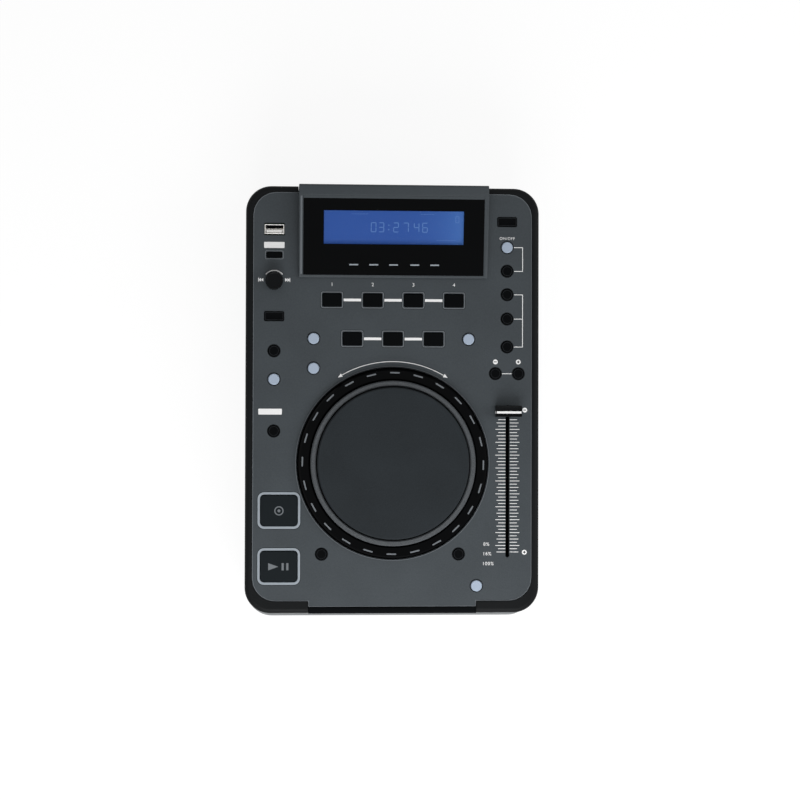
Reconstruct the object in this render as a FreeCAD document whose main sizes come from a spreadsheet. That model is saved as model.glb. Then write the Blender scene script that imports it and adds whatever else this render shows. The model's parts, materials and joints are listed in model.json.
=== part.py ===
import FreeCAD, Part
import math
import os
import re

import Sketcher

# Tabletop disc player with a jog wheel, a display housing and a pitch fader.
# Row frame: +X to the right, +Y to the rear, +Z up, origin on the ground under the middle of the case.
# Deck frame: u across, v up the sloping deck to the rear, w out of the deck, w = 0 on the top plate.

SIZES = {
    # Case outline, measured along the deck, in millimetres and degrees
    "body_width": 218.0,
    "body_length": 315.8,
    "body_corner": 19.0,
    "deck_height": 74.0,
    "slope": 4.0,
    "seat_gap": 0.3,
    # Case on which the places below were measured
    "drawn_width": 218.0,
    "drawn_length": 315.8,
    # Top plate with its front tongue
    "plate_side_margin": 5.5,
    "plate_rear_margin": 4.7,
    "plate_front_margin": 9.0,
    "plate_corner": 17.0,
    "plate_sheet": 2.0,
    "tongue_width": 124.0,
    "tongue_margin": 4.9,
    "stud_radius": 2.0,
    "stud_side_margin": 8.0,
    "stud_rear_margin": 13.2,
    "stud_front_margin": 11.3,
    "stud_middle_row": 72.0,
    "stud_jog_row": -55.0,
    # Side bumpers
    "bumper_depth": 28.0,
    "bumper_wall": 3.0,
    "bumper_rise": 0.8,
    "bumper_round": 3.6,
    "ledge_width": 4.0,
    "ledge_sheet": 3.0,
    # Lower case pan
    "pan_wall": 1.5,
    "pan_inset": 1.2,
    "pan_round": 3.0,
    "front_lip": 2.0,
    "lip_width": 4.0,
    "foot_height": 5.0,
    "foot_radius": 10.0,
    "foot_column": 86.0,
    "foot_row": 132.0,
    "screw_radius": 1.75,
    "screw_head_radius": 3.2,
    "screw_head_height": 2.0,
    "screw_length": 11.0,
    "screw_clearance": 0.25,
    # Rear panel, set back so that its sockets stay inside the outline
    "panel_recess": 9.0,
    "panel_sheet": 1.5,
    "panel_width": 196.0,
    "panel_top": 66.0,
    "rear_opening_width": 186.0,
    "rear_opening_low": 10.0,
    # Display housing, window and screen
    "housing_width": 140.0,
    "housing_front": 90.2,
    "housing_step": 3.2,
    "crest_depth": 7.5,
    "crest_height": 14.0,
    "crest_bevel": 1.2,
    "housing_wall": 2.5,
    "window_side_margin": 3.2,
    "window_front_margin": 1.8,
    "window_rear_margin": 1.0,
    "window_sheet": 2.0,
    "window_gap": 0.15,
    "window_ledge": 6.8,
    "opening_front_margin": 12.0,
    "opening_rear_margin": 3.4,
    "screen_side_margin": 4.0,
    "screen_front_margin": 8.0,
    "screen_rear_margin": 1.5,
    "screen_depth": 5.0,
    # Front fascia with the disc slot
    "fascia_gap": 0.3,
    "fascia_wall": 4.5,
    "fascia_ear": 12.0,
    "fascia_ear_sheet": 2.0,
    "slot_width": 121.4,
    "slot_height": 5.2,
    "slot_level": -20.0,
    # Control board under the deck
    "stud_length": 8.2,
    "board_sheet": 1.6,
    "board_side_margin": 5.5,
    "board_front_margin": 3.4,
    "board_rear_margin": 5.2,
    "board_corner": 10.0,
    "board_gap": 2.0,
    "switch_width": 6.0,
    "switch_height": 4.0,
    # Keys
    "key_travel": 0.8,
    "key_gap": 0.4,
    "key_rise": 0.7,
    "key_bevel": 0.4,
    "flange_sheet": 1.0,
    "flange_margin": 0.9,
    "stem_radius": 2.0,
    "stem_clearance": 0.2,
    "round_key_width": 8.2,
    "lens_rise": 1.1,
    "memory_key_width": 13.7,
    "memory_key_depth": 9.4,
    "source_key_width": 11.2,
    "source_key_depth": 3.9,
    "scoop_key_width": 14.2,
    "scoop_key_depth": 6.7,
    "scoop_radius": 16.0,
    "scoop_depth": 0.6,
    "transport_key_width": 27.1,
    "transport_key_depth": 22.7,
    "transport_flange_margin": 0.4,
    "key_corner": 0.8,
    "transport_key_corner": 3.0,
    # Where the controls stand on the deck
    "left_column": -88.0,
    "right_column": 85.0,
    "usb_row": 125.8,
    "source_row": 106.7,
    "encoder_row": 87.2,
    "folder_row": 61.3,
    "program_row": 35.7,
    "relay_row": 14.7,
    "jog_mode_row": -23.5,
    "transport_column": -83.9,
    "cue_row": -82.1,
    "play_margin": 25.6,
    "tap_row": -114.3,
    "tap_column": -52.5,
    "range_column": 49.0,
    "tempo_column": 62.4,
    "tempo_row": -137.8,
    "record_column": -58.8,
    "brake_row": 23.0,
    "reverse_column": 56.3,
    "memory_row": 73.7,
    "memory_pitch": 30.2,
    "loop_row": 45.0,
    "eject_row": 132.6,
    "fx_row": 113.6,
    "select_row": 95.9,
    "title_row": 78.4,
    "time_row": 60.3,
    "single_row": 39.5,
    "bend_column": 84.9,
    "bend_pitch": 17.1,
    "bend_row": 19.6,
    # Pitch fader
    "fader_column": 85.5,
    "fader_rest_row": -8.4,
    "fader_travel": 104.0,
    "fader_slot_width": 2.4,
    "fader_slot_margin": 1.4,
    "fader_body_width": 12.5,
    "fader_body_margin": 8.0,
    "fader_body_depth": 10.0,
    "fader_body_wall": 1.0,
    "lever_sheet": 1.2,
    "lever_width": 5.6,
    "lever_rise": 6.0,
    "carriage_width": 8.6,
    "carriage_height": 5.0,
    "fader_knob_width": 19.0,
    "fader_knob_depth": 8.2,
    "fader_knob_gap": 1.2,
    "fader_knob_height": 9.0,
    "fader_knob_round": 1.0,
    "slide_gap": 0.3,
    # Jog wheel and its bearing
    "jog_row": -47.1,
    "jog_hole_radius": 71.0,
    "cup_margin": 1.6,
    "cup_wall": 1.4,
    "cup_depth": 12.0,
    "post_radius": 6.0,
    "post_top": 3.0,
    "running_gap": 0.05,
    "hub_radius": 12.0,
    "hub_top": 2.5,
    "web_top": -3.0,
    "web_sheet": 2.0,
    "ring_gap": 1.2,
    "ring_width": 8.6,
    "ring_top": 5.5,
    "ring_bevel": 1.2,
    "rim_width": 3.9,
    "rim_top": 8.5,
    "rim_bevel": 0.8,
    "platter_groove": 1.0,
    "platter_top": 11.0,
    "platter_sheet": 2.5,
    "platter_bevel": 0.8,
    # Encoder with its knob
    "encoder_body_width": 12.0,
    "encoder_body_top": -3.0,
    "encoder_shaft_radius": 3.0,
    "encoder_hole_radius": 4.0,
    "encoder_knob_radius": 6.5,
    "encoder_knob_gap": 0.5,
    "encoder_knob_top": 10.0,
    "encoder_knob_bevel": 0.6,
    # USB socket, opening upwards
    "usb_recess_width": 15.4,
    "usb_recess_depth": 9.3,
    "usb_width": 14.4,
    "usb_depth": 7.0,
    "usb_wall": 0.5,
    "usb_top": -0.4,
    "usb_floor": 1.2,
    "usb_tongue_width": 11.4,
    "usb_tongue_sheet": 2.0,
    "usb_tongue_shift": 1.5,
    "usb_tongue_drop": 0.8,
    # Slot loader, level with the ground
    "loader_width": 140.0,
    "loader_length": 142.0,
    "loader_setback": 9.9,
    "loader_low": 18.0,
    "loader_high": 50.0,
    "loader_sheet": 1.2,
    "leg_radius": 4.0,
    "leg_margin": 8.0,
    "roller_setback": 8.0,
    "roller_level": 36.2,
    "roller_radius": 4.5,
    "roller_length": 124.0,
    "axle_radius": 1.5,
    "spindle_setback": 72.0,
    "motor_radius": 11.0,
    "motor_top": 32.0,
    "spindle_radius": 1.5,
    "turntable_low": 36.0,
    "disc_seat": 41.8,
    "turntable_radius": 13.0,
    "disc_boss_radius": 7.3,
    "disc_boss_height": 2.6,
    "clamp_radius": 13.0,
    "clamp_sheet": 2.0,
    "clamp_gap": 0.4,
    "clamp_neck_radius": 7.4,
    "clamp_hole_radius": 8.5,
    "clamp_flange_radius": 11.0,
    "clamp_flange_sheet": 1.5,
    "sled_reach": 23.0,
    "sled_travel": 34.0,
    "sled_length": 16.0,
    "sled_width": 40.0,
    "sled_low": 26.0,
    "sled_high": 34.0,
    "lens_radius": 3.2,
    "lens_height": 2.0,
    "rail_column": 15.0,
    "rail_level": 30.0,
    "rail_radius": 1.5,
    "bracket_sheet": 2.0,
    "bracket_margin": 1.0,
    "bracket_width": 40.0,
    # Boards on the floor
    "standoff_height": 5.0,
    "standoff_radius": 3.0,
    "standoff_margin": 5.0,
    "main_board_left": -98.0,
    "main_board_right": 18.0,
    "main_board_rear": 128.0,
    "loader_board_gap": 12.0,
    "processor_width": 24.0,
    "processor_height": 2.4,
    "power_board_left": 30.0,
    "power_board_right": 98.0,
    "power_board_rear": 110.0,
    "transformer_width": 34.0,
    "transformer_height": 22.0,
    "capacitor_radius": 7.0,
    "capacitor_height": 20.0,
    # Sockets and switch at the back
    "socket_level": 36.0,
    "inlet_column": 60.0,
    "inlet_body_width": 48.0,
    "inlet_body_height": 27.0,
    "inlet_body_depth": 26.0,
    "inlet_bezel_margin": 2.5,
    "inlet_bezel_sheet": 2.0,
    "inlet_well_shift": -8.5,
    "inlet_well_width": 24.0,
    "inlet_well_height": 17.0,
    "inlet_well_depth": 18.0,
    "inlet_pin_pitch": 14.0,
    "inlet_pin_width": 2.0,
    "inlet_pin_height": 4.0,
    "inlet_pin_length": 15.0,
    "inlet_earth_rise": 4.5,
    "rocker_shift": 14.5,
    "rocker_width": 12.0,
    "rocker_height": 18.4,
    "rocker_well_gap": 0.5,
    "rocker_well_depth": 12.0,
    "rocker_pivot_depth": 3.0,
    "rocker_pin_radius": 1.4,
    "rocker_pin_reach": 1.5,
    "rocker_tilt": 7.0,
    "jack_column": -66.0,
    "jack_pitch": 19.0,
    "jack_block_height": 16.0,
    "jack_block_depth": 12.0,
    "jack_barrel_radius": 4.15,
    "jack_barrel_length": 8.5,
    "jack_bore_radius": 1.7,
    "jack_bore_depth": 9.0,
}

# Formulas that several pieces share
DERIVED = {
    "half_length": "body_length / 2",
    "plate_rear": "half_length - plate_rear_margin",
    "plate_front": "half_length - plate_front_margin",
    "tongue_front": "half_length - tongue_margin",
    "floor_top": "foot_height + pan_wall",
    "pan_side": "body_width / 2 - pan_inset",
    "pan_rear": "half_length * cos(slope) - pan_inset",
    "pan_front": "0 - half_length * cos(slope) - front_lip",
    "lip_rear": "pan_front + front_lip + lip_width",
    "plate_side": "body_width / 2 - plate_side_margin",
    "stud_column": "plate_side - stud_side_margin",
    "stud_rear_row": "plate_rear - stud_rear_margin",
    "stud_front_row": "stud_front_margin - plate_front",
    "crest_front": "half_length - crest_depth",
    "window_width": "housing_width - window_side_margin * 2",
    "window_front": "housing_front + window_front_margin",
    "window_rear": "crest_front - window_rear_margin",
    "opening_width": "window_width - window_ledge * 2",
    "screen_opening_front": "window_front + opening_front_margin",
    "screen_opening_rear": "window_rear - opening_rear_margin",
    "screen_width": "opening_width - screen_side_margin * 2",
    "screen_front": "screen_opening_front + screen_front_margin",
    "screen_rear": "screen_opening_rear - screen_rear_margin",
    "board_width": "plate_side * 2 - board_side_margin * 2",
    "board_front": "plate_front - board_front_margin",
    "board_rear": "plate_rear - board_rear_margin",
    "play_row": "play_margin - plate_front",
    "cup_radius": "jog_hole_radius + cup_margin",
    "ring_radius": "jog_hole_radius - ring_gap",
    "rim_radius": "ring_radius - ring_width - seat_gap",
    "platter_radius": "rim_radius - rim_width - platter_groove",
    "loader_front": "loader_setback - half_length",
    "loader_rear": "loader_front + loader_length",
    "roller_row": "loader_front + roller_setback",
    "spindle_row": "loader_front + spindle_setback",
    "sled_rest_row": "spindle_row + sled_reach",
    "main_board_front": "loader_rear + loader_board_gap",
    "power_board_front": "loader_rear + loader_board_gap",
    "board_top": "0 - plate_sheet - stud_length",
    "board_low": "board_top - board_sheet",
    "board_hole": "cup_radius + board_gap",
    "switch_top": "board_top + switch_height",
    "flange_top": "0 - plate_sheet - seat_gap",
    "stem_low": "switch_top + key_travel + stem_clearance",
    "wedge": "(crest_height - housing_step) / (crest_front - housing_front)",
    "window_drop": "window_sheet * sqrt(1 + wedge * wedge)",
    "skirt_front": "plate_rear + seat_gap",
    "panel_outer": "pan_rear - pan_wall - panel_recess",
    "panel_inner": "panel_outer - panel_sheet",
    "fader_slot_rear": "fader_rest_row + lever_width / 2 + fader_slot_margin",
    "fader_slot_front": "fader_rest_row - fader_travel - lever_width / 2 - fader_slot_margin",
    "fader_body_rear": "fader_slot_rear + fader_body_margin",
    "fader_body_front": "fader_slot_front - fader_body_margin",
    "fader_body_low": "0 - plate_sheet - fader_body_depth",
    "carriage_low": "fader_body_low + fader_body_wall + slide_gap",
    "disc_boss_top": "disc_seat + disc_boss_height",
    "clamp_low": "disc_boss_top + clamp_gap",
    "rear_bracket": "sled_rest_row + sled_travel + sled_length / 2 + bracket_margin",
    "front_bracket": "sled_rest_row - sled_length / 2 - bracket_margin",
    "rocker_column": "inlet_column + rocker_shift",
    "rocker_pivot": "panel_outer + inlet_bezel_sheet - rocker_pivot_depth",
}

# Sizes that keep their share of the case when its width or its length changes
SHARES = {
    "width": [
        "left_column",
        "right_column",
        "transport_column",
        "tap_column",
        "range_column",
        "tempo_column",
        "record_column",
        "reverse_column",
        "memory_pitch",
        "bend_column",
        "fader_column",
        "jog_hole_radius",
        "housing_width",
        "foot_column",
        "panel_width",
        "rear_opening_width",
        "main_board_left",
        "power_board_right",
        "inlet_column",
        "jack_column",
    ],
    "length": [
        "usb_row",
        "source_row",
        "encoder_row",
        "folder_row",
        "program_row",
        "relay_row",
        "jog_mode_row",
        "cue_row",
        "tap_row",
        "tempo_row",
        "brake_row",
        "memory_row",
        "loop_row",
        "eject_row",
        "fx_row",
        "select_row",
        "title_row",
        "time_row",
        "single_row",
        "bend_row",
        "fader_rest_row",
        "jog_row",
        "housing_front",
        "stud_middle_row",
        "stud_jog_row",
        "foot_row",
        "main_board_rear",
        "power_board_rear",
    ],
}

# Name, kind, and the place across and up the deck of each key
KEYS = [
    ("source_key", "source", "left_column", "source_row"),
    ("folder_key", "scoop", "left_column", "folder_row"),
    ("program_key", "dark", "left_column", "program_row"),
    ("relay_key", "lens", "left_column", "relay_row"),
    ("jog_mode_key", "dark", "left_column", "jog_mode_row"),
    ("cue_key", "transport", "transport_column", "cue_row"),
    ("play_key", "transport", "transport_column", "play_row"),
    ("tap_key", "dark", "tap_column", "tap_row"),
    ("range_key", "dark", "range_column", "tap_row"),
    ("tempo_key", "lens", "tempo_column", "tempo_row"),
    ("record_key", "lens", "record_column", "loop_row"),
    ("brake_key", "lens", "record_column", "brake_row"),
    ("reverse_key", "lens", "reverse_column", "loop_row"),
    ("memory_1_key", "memory", "memory_pitch * -1.5", "memory_row"),
    ("memory_2_key", "memory", "memory_pitch * -0.5", "memory_row"),
    ("memory_3_key", "memory", "memory_pitch * 0.5", "memory_row"),
    ("memory_4_key", "memory", "memory_pitch * 1.5", "memory_row"),
    ("loop_in_key", "memory", "memory_pitch * -1", "loop_row"),
    ("loop_out_key", "memory", "0", "loop_row"),
    ("reloop_key", "memory", "memory_pitch", "loop_row"),
    ("eject_key", "scoop", "right_column", "eject_row"),
    ("fx_key", "lens", "right_column", "fx_row"),
    ("select_key", "dark", "right_column", "select_row"),
    ("title_key", "dark", "right_column", "title_row"),
    ("time_key", "dark", "right_column", "time_row"),
    ("single_key", "dark", "right_column", "single_row"),
    ("bend_minus_key", "dark", "bend_column - bend_pitch / 2", "bend_row"),
    ("bend_plus_key", "dark", "bend_column + bend_pitch / 2", "bend_row"),
]

# Width, depth, corner and flange margin of each kind of rectangular key
FLAT_KEYS = {
    "source": ("source_key_width", "source_key_depth", "key_corner", "flange_margin"),
    "scoop": ("scoop_key_width", "scoop_key_depth", "key_corner", "flange_margin"),
    "memory": ("memory_key_width", "memory_key_depth", "key_corner", "flange_margin"),
    "transport": (
        "transport_key_width",
        "transport_key_depth",
        "transport_key_corner",
        "transport_flange_margin",
    ),
}

WORD = re.compile(r"[a-z][a-z0-9_]*")
UP = FreeCAD.Vector(0, 0, 1)

os.makedirs("parts", exist_ok=True)
doc = FreeCAD.newDocument("DiscPlayer")
parts = []


# Sheet and formulas


def fill_sheet():
    """Write every driving dimension into the sheet under its own alias."""
    sheet = doc.addObject("Spreadsheet::Sheet", "Sizes")
    for row, (name, value) in enumerate(SIZES.items(), start=1):
        sheet.set(f"A{row}", name)
        sheet.set(f"B{row}", str(value))
        sheet.setAlias(f"B{row}", name)
    doc.recompute()
    return sheet


def formula(text):
    """Write a formula's named values out, down to cells of the sheet."""

    def cell(match):
        word = match.group(0)
        for side, names in SHARES.items():
            if word in names:
                return f"(Sizes.{word} * Sizes.body_{side} / Sizes.drawn_{side})"
        if word in SIZES:
            return "Sizes." + word
        if word in DERIVED:
            return "(" + formula(DERIVED[word]) + ")"
        return word

    return WORD.sub(cell, text)


def amount(text):
    """Work a formula out as a number."""
    result = sheet.evalExpression(formula(text))
    return float(getattr(result, "Value", result))


def tie(item, path, text):
    """Bind one property of an object to a formula of the sheet."""
    item.setExpression(path, formula(text))


# Sketch outlines, with every dimension tied to the sheet


def dimension(sketch, kind, places, text):
    """Add one dimension to a sketch and bind it."""
    index = sketch.addConstraint(Sketcher.Constraint(kind, *places, amount(text)))
    tie(sketch, f"Constraints[{index}]", text)


def hold(sketch, item, point, across, along):
    """Fix one point of a sketch at two formulas measured from its origin."""
    dimension(sketch, "DistanceX", (-1, 1, item, point), across)
    dimension(sketch, "DistanceY", (-1, 1, item, point), along)


def polygon(sketch, corners):
    """Draw a closed outline through corners given as pairs of formulas."""
    points = [FreeCAD.Vector(amount(across), amount(along), 0) for across, along in corners]
    first = sketch.GeometryCount
    count = len(points)
    for step in range(count):
        sketch.addGeometry(Part.LineSegment(points[step], points[(step + 1) % count]))
    for step in range(count):
        after = first + (step + 1) % count
        sketch.addConstraint(Sketcher.Constraint("Coincident", first + step, 2, after, 1))
    for step, (across, along) in enumerate(corners):
        hold(sketch, first + step, 1, across, along)


def box(sketch, left, right, low, high):
    """Draw a rectangle between four formulas."""
    polygon(sketch, [(left, low), (right, low), (right, high), (left, high)])


def circle(sketch, across, along, radius):
    """Draw a circle about a place given by two formulas."""
    centre = FreeCAD.Vector(amount(across), amount(along), 0)
    item = sketch.addGeometry(Part.Circle(centre, UP, amount(radius)))
    hold(sketch, item, 3, across, along)
    dimension(sketch, "Radius", (item,), radius)


def arc(sketch, across, along, radius, quarter, quarters):
    """Add an arc that starts after some quarter turns and runs for some more."""
    whole = Part.Circle(FreeCAD.Vector(across, along, 0), UP, radius)
    start = quarter * math.pi / 2
    end = start + quarters * math.pi / 2
    return sketch.addGeometry(Part.ArcOfCircle(whole, start, end))


def rounded_box(sketch, left, right, low, high, radius):
    """Draw a rectangle with round corners between four formulas."""
    west, east, south, north, bend = (amount(text) for text in (left, right, low, high, radius))
    sides = [
        ((west + bend, south), (east - bend, south)),
        ((east, south + bend), (east, north - bend)),
        ((east - bend, north), (west + bend, north)),
        ((west, north - bend), (west, south + bend)),
    ]
    centres = [
        (east - bend, south + bend),
        (east - bend, north - bend),
        (west + bend, north - bend),
        (west + bend, south + bend),
    ]
    lines = [
        sketch.addGeometry(Part.LineSegment(FreeCAD.Vector(*start, 0), FreeCAD.Vector(*end, 0)))
        for start, end in sides
    ]
    bends = [arc(sketch, *centre, bend, turn - 1, 1) for turn, centre in enumerate(centres)]
    for turn in range(4):
        after = lines[(turn + 1) % 4]
        sketch.addConstraint(Sketcher.Constraint("Tangent", lines[turn], 2, bends[turn], 1))
        sketch.addConstraint(Sketcher.Constraint("Tangent", bends[turn], 2, after, 1))
        level = "Vertical" if turn % 2 else "Horizontal"
        sketch.addConstraint(Sketcher.Constraint(level, lines[turn]))
    for item in bends[1:]:
        sketch.addConstraint(Sketcher.Constraint("Equal", bends[0], item))
    dimension(sketch, "Radius", (bends[0],), radius)
    dimension(sketch, "DistanceY", (-1, 1, lines[0], 1), low)
    dimension(sketch, "DistanceX", (-1, 1, lines[1], 1), right)
    dimension(sketch, "DistanceY", (-1, 1, lines[2], 1), high)
    dimension(sketch, "DistanceX", (-1, 1, lines[3], 1), left)


def upright_slot(sketch, across, low, high, width):
    """Draw a slot with round ends that runs up the sketch."""
    middle, south, north, bend = (amount(text) for text in (across, low, high, f"({width}) / 2"))
    top = arc(sketch, middle, north - bend, bend, 0, 2)
    foot = arc(sketch, middle, south + bend, bend, 2, 2)
    east = sketch.addGeometry(
        Part.LineSegment(
            FreeCAD.Vector(middle + bend, south + bend, 0), FreeCAD.Vector(middle + bend, north - bend, 0)
        )
    )
    west = sketch.addGeometry(
        Part.LineSegment(
            FreeCAD.Vector(middle - bend, north - bend, 0), FreeCAD.Vector(middle - bend, south + bend, 0)
        )
    )
    for before, after in ((foot, east), (east, top), (top, west), (west, foot)):
        sketch.addConstraint(Sketcher.Constraint("Tangent", before, 2, after, 1))
    sketch.addConstraint(Sketcher.Constraint("Equal", top, foot))
    dimension(sketch, "Radius", (top,), f"({width}) / 2")
    hold(sketch, top, 3, across, f"({high}) - ({width}) / 2")
    hold(sketch, foot, 3, across, f"({low}) + ({width}) / 2")


# Bodies and their features


def new_body(name, kept=True):
    """Start a body, and list it as a piece of its own unless it is only an ingredient."""
    body = doc.addObject("PartDesign::Body", name)
    body.Label = name
    if kept:
        parts.append(body)
    return body


def new_sketch(body, plane, offset="0"):
    """Attach a sketch to one of the body's own planes, some way along its normal."""
    sketch = body.newObject("Sketcher::SketchObject", body.Name + "_sketch")
    base = [item for item in body.Origin.OriginFeatures if item.Role == plane][0]
    sketch.AttachmentSupport = (base, [""])
    sketch.MapMode = "FlatFace"
    tie(sketch, "AttachmentOffset.Base.z", offset)
    return sketch


def add(body, low, high, draw, *sizes, plane="XY_Plane"):
    """Pad an outline from the low level up to the high one."""
    sketch = new_sketch(body, plane, low)
    draw(sketch, *sizes)
    feature = body.newObject("PartDesign::Pad", body.Name + "_pad")
    feature.Profile = sketch
    tie(feature, "Length", f"({high}) - ({low})")


def cut(body, low, high, draw, *sizes, plane="XY_Plane"):
    """Pocket an outline from the high level down to the low one."""
    sketch = new_sketch(body, plane, high)
    draw(sketch, *sizes)
    feature = body.newObject("PartDesign::Pocket", body.Name + "_pocket")
    feature.Profile = sketch
    tie(feature, "Length", f"({high}) - ({low})")


def turn(body, corners):
    """Revolve an outline of radius and height formulas about the upright axis."""
    sketch = new_sketch(body, "XZ_Plane")
    polygon(sketch, corners)
    feature = body.newObject("PartDesign::Revolution", body.Name + "_turn")
    feature.Profile = sketch
    feature.ReferenceAxis = (sketch, ["V_Axis"])
    feature.Angle = 360


def dress(bodies, kind, size, level):
    """Fillet or chamfer the edges of some bodies that lie flat at one level."""
    doc.recompute()
    height = amount(level)
    for body in bodies:
        base = body.Tip
        names = []
        for place, edge in enumerate(base.Shape.Edges, start=1):
            bounds = edge.BoundBox
            if abs(bounds.ZMin - height) < 0.001 and abs(bounds.ZMax - height) < 0.001:
                names.append(f"Edge{place}")
        feature = body.newObject("PartDesign::" + kind, body.Name + "_" + kind.lower())
        feature.Base = (base, names)
        tie(feature, "Radius" if kind == "Fillet" else "Size", size)


def on_deck(item, across="0", along="0"):
    """Stand a piece on the sloping deck at a place across and up it."""
    item.Placement = FreeCAD.Placement(FreeCAD.Vector(), FreeCAD.Rotation(FreeCAD.Vector(1, 0, 0), 1))
    tie(item, "Placement.Rotation.Angle", "slope")
    tie(item, "Placement.Base.x", across)
    tie(item, "Placement.Base.y", f"({along}) * cos(slope)")
    tie(item, "Placement.Base.z", f"deck_height + ({along}) * sin(slope)")


def group(name, members):
    """Keep several solids as one piece."""
    compound = doc.addObject("Part::Compound", name)
    compound.Label = name
    compound.Links = members
    parts.append(compound)


# Case


def rim_level(along):
    """Height of the lower case's sloping rim at a place along the row frame."""
    return f"deck_height + ({along}) * tan(slope) - bumper_depth / cos(slope)"


def make_base_pan():
    """Lower case: a tray with a sloping rim, a front lip and an open back."""
    body = new_body("base_pan")
    top = "deck_height"
    outline = ("0 - pan_side", "pan_side", "pan_front", "pan_rear", "body_corner")
    add(body, "foot_height", top, rounded_box, *outline)
    dress([body], "Fillet", "pan_round", "foot_height")
    inner = (
        "pan_wall - pan_side",
        "pan_side - pan_wall",
        "lip_rear",
        "pan_rear - pan_wall",
        "body_corner - pan_wall",
    )
    cut(body, "floor_top", top, rounded_box, *inner)
    lip_front = "pan_front + pan_wall"
    lip_inside = [
        (lip_front, "floor_top"),
        ("lip_rear + pan_wall", "floor_top"),
        ("lip_rear + pan_wall", rim_level("lip_rear + pan_wall") + " - pan_wall"),
        (lip_front, rim_level(lip_front) + " - pan_wall"),
    ]
    half = "pan_side - body_corner"
    cut(body, f"0 - ({half})", half, polygon, lip_inside, plane="YZ_Plane")
    reach = "body_length"
    above_rim = [
        (f"0 - ({reach})", rim_level(f"0 - ({reach})")),
        (reach, rim_level(reach)),
        (reach, "deck_height * 2"),
        (f"0 - ({reach})", "deck_height * 2"),
    ]
    cut(body, "0 - body_width", "body_width", polygon, above_rim, plane="YZ_Plane")
    opening = (
        "0 - rear_opening_width / 2",
        "rear_opening_width / 2",
        "pan_rear - pan_wall * 2",
        "pan_rear + pan_wall",
    )
    cut(body, "rear_opening_low", top, box, *opening)
    for side in ("0 - foot_column", "foot_column"):
        for row in ("0 - foot_row", "foot_row"):
            hole = (side, row, "screw_radius + screw_clearance")
            cut(body, "foot_height - pan_wall", "floor_top + pan_wall", circle, *hole)


def plate_outline(sketch, margin):
    """Draw the top plate's outline without its tongue, grown by a margin."""
    side = f"plate_side + ({margin})"
    front = f"0 - plate_front - ({margin})"
    rear = f"plate_rear + ({margin})"
    rounded_box(sketch, f"0 - ({side})", side, front, rear, f"plate_corner + ({margin})")


def case_outline(sketch, inset):
    """Draw the case's outline on the deck, drawn in by an inset."""
    side = f"body_width / 2 - ({inset})"
    end = f"half_length - ({inset})"
    rounded_box(sketch, f"0 - ({side})", side, f"0 - ({end})", end, f"body_corner - ({inset})")


def make_bumper(name, sign):
    """Side bumper: a C that wraps both corners and carries the top plate on its ledge."""
    body = new_body(name)
    add(body, "0 - bumper_depth", "bumper_rise", case_outline, "0")
    dress([body], "Fillet", "bumper_round", "bumper_rise")
    cut(body, "0 - plate_sheet", "bumper_rise", plate_outline, "seat_gap")
    ledge_low = "0 - plate_sheet - ledge_sheet"
    cut(body, "0 - bumper_depth", ledge_low, case_outline, "bumper_wall")
    cut(body, "0 - bumper_depth", "bumper_rise", plate_outline, "0 - ledge_width")
    front = f"{sign} * (tongue_width / 2 + seat_gap)"
    rear = f"{sign} * (housing_width / 2 + seat_gap)"
    other_side = [
        (front, "0 - body_length"),
        (front, "0"),
        (rear, "0"),
        (rear, "body_length"),
        (f"0 - {sign} * body_width", "body_length"),
        (f"0 - {sign} * body_width", "0 - body_length"),
    ]
    cut(body, "0 - bumper_depth", "bumper_rise", polygon, other_side)
    on_deck(body)


def make_top_plate():
    """Grey metal deck with a front tongue, holes for every control, and studs for the board."""
    body = new_body("top_plate")
    low = "0 - plate_sheet"
    add(body, low, "0", plate_outline, "0")
    tongue = ("0 - tongue_width / 2", "tongue_width / 2", "0 - tongue_front", "plate_corner - plate_front")
    add(body, low, "0", box, *tongue)
    for name, kind, across, along in KEYS:
        if kind in FLAT_KEYS:
            width, depth, corner, margin = FLAT_KEYS[kind]
            cut(
                body,
                low,
                "0",
                rounded_box,
                f"{across} - {width} / 2 - key_gap",
                f"{across} + {width} / 2 + key_gap",
                f"{along} - {depth} / 2 - key_gap",
                f"{along} + {depth} / 2 + key_gap",
                f"{corner} + key_gap",
            )
        else:
            cut(body, low, "0", circle, across, along, "round_key_width / 2 + key_gap")
    cut(body, low, "0", circle, "0", "jog_row", "jog_hole_radius")
    cut(body, low, "0", circle, "left_column", "encoder_row", "encoder_hole_radius")
    slot = ("fader_column", "fader_slot_front", "fader_slot_rear", "fader_slot_width")
    cut(body, low, "0", upright_slot, *slot)
    recess = (
        "left_column - usb_recess_width / 2",
        "left_column + usb_recess_width / 2",
        "usb_row - usb_recess_depth / 2",
        "usb_row + usb_recess_depth / 2",
        "key_corner",
    )
    cut(body, low, "0", rounded_box, *recess)
    screen = (
        "0 - opening_width / 2",
        "opening_width / 2",
        "screen_opening_front",
        "screen_opening_rear",
    )
    cut(body, low, "0", box, *screen)
    for row in ("stud_rear_row", "stud_middle_row", "stud_jog_row", "stud_front_row"):
        for side in ("0 - stud_column", "stud_column"):
            add(body, "board_top", low, circle, side, row, "stud_radius")
    on_deck(body)


def housing_rise(along):
    """Height of the display housing's slope at a place up the deck."""
    return f"housing_step + (({along}) - housing_front) * wedge"


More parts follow.
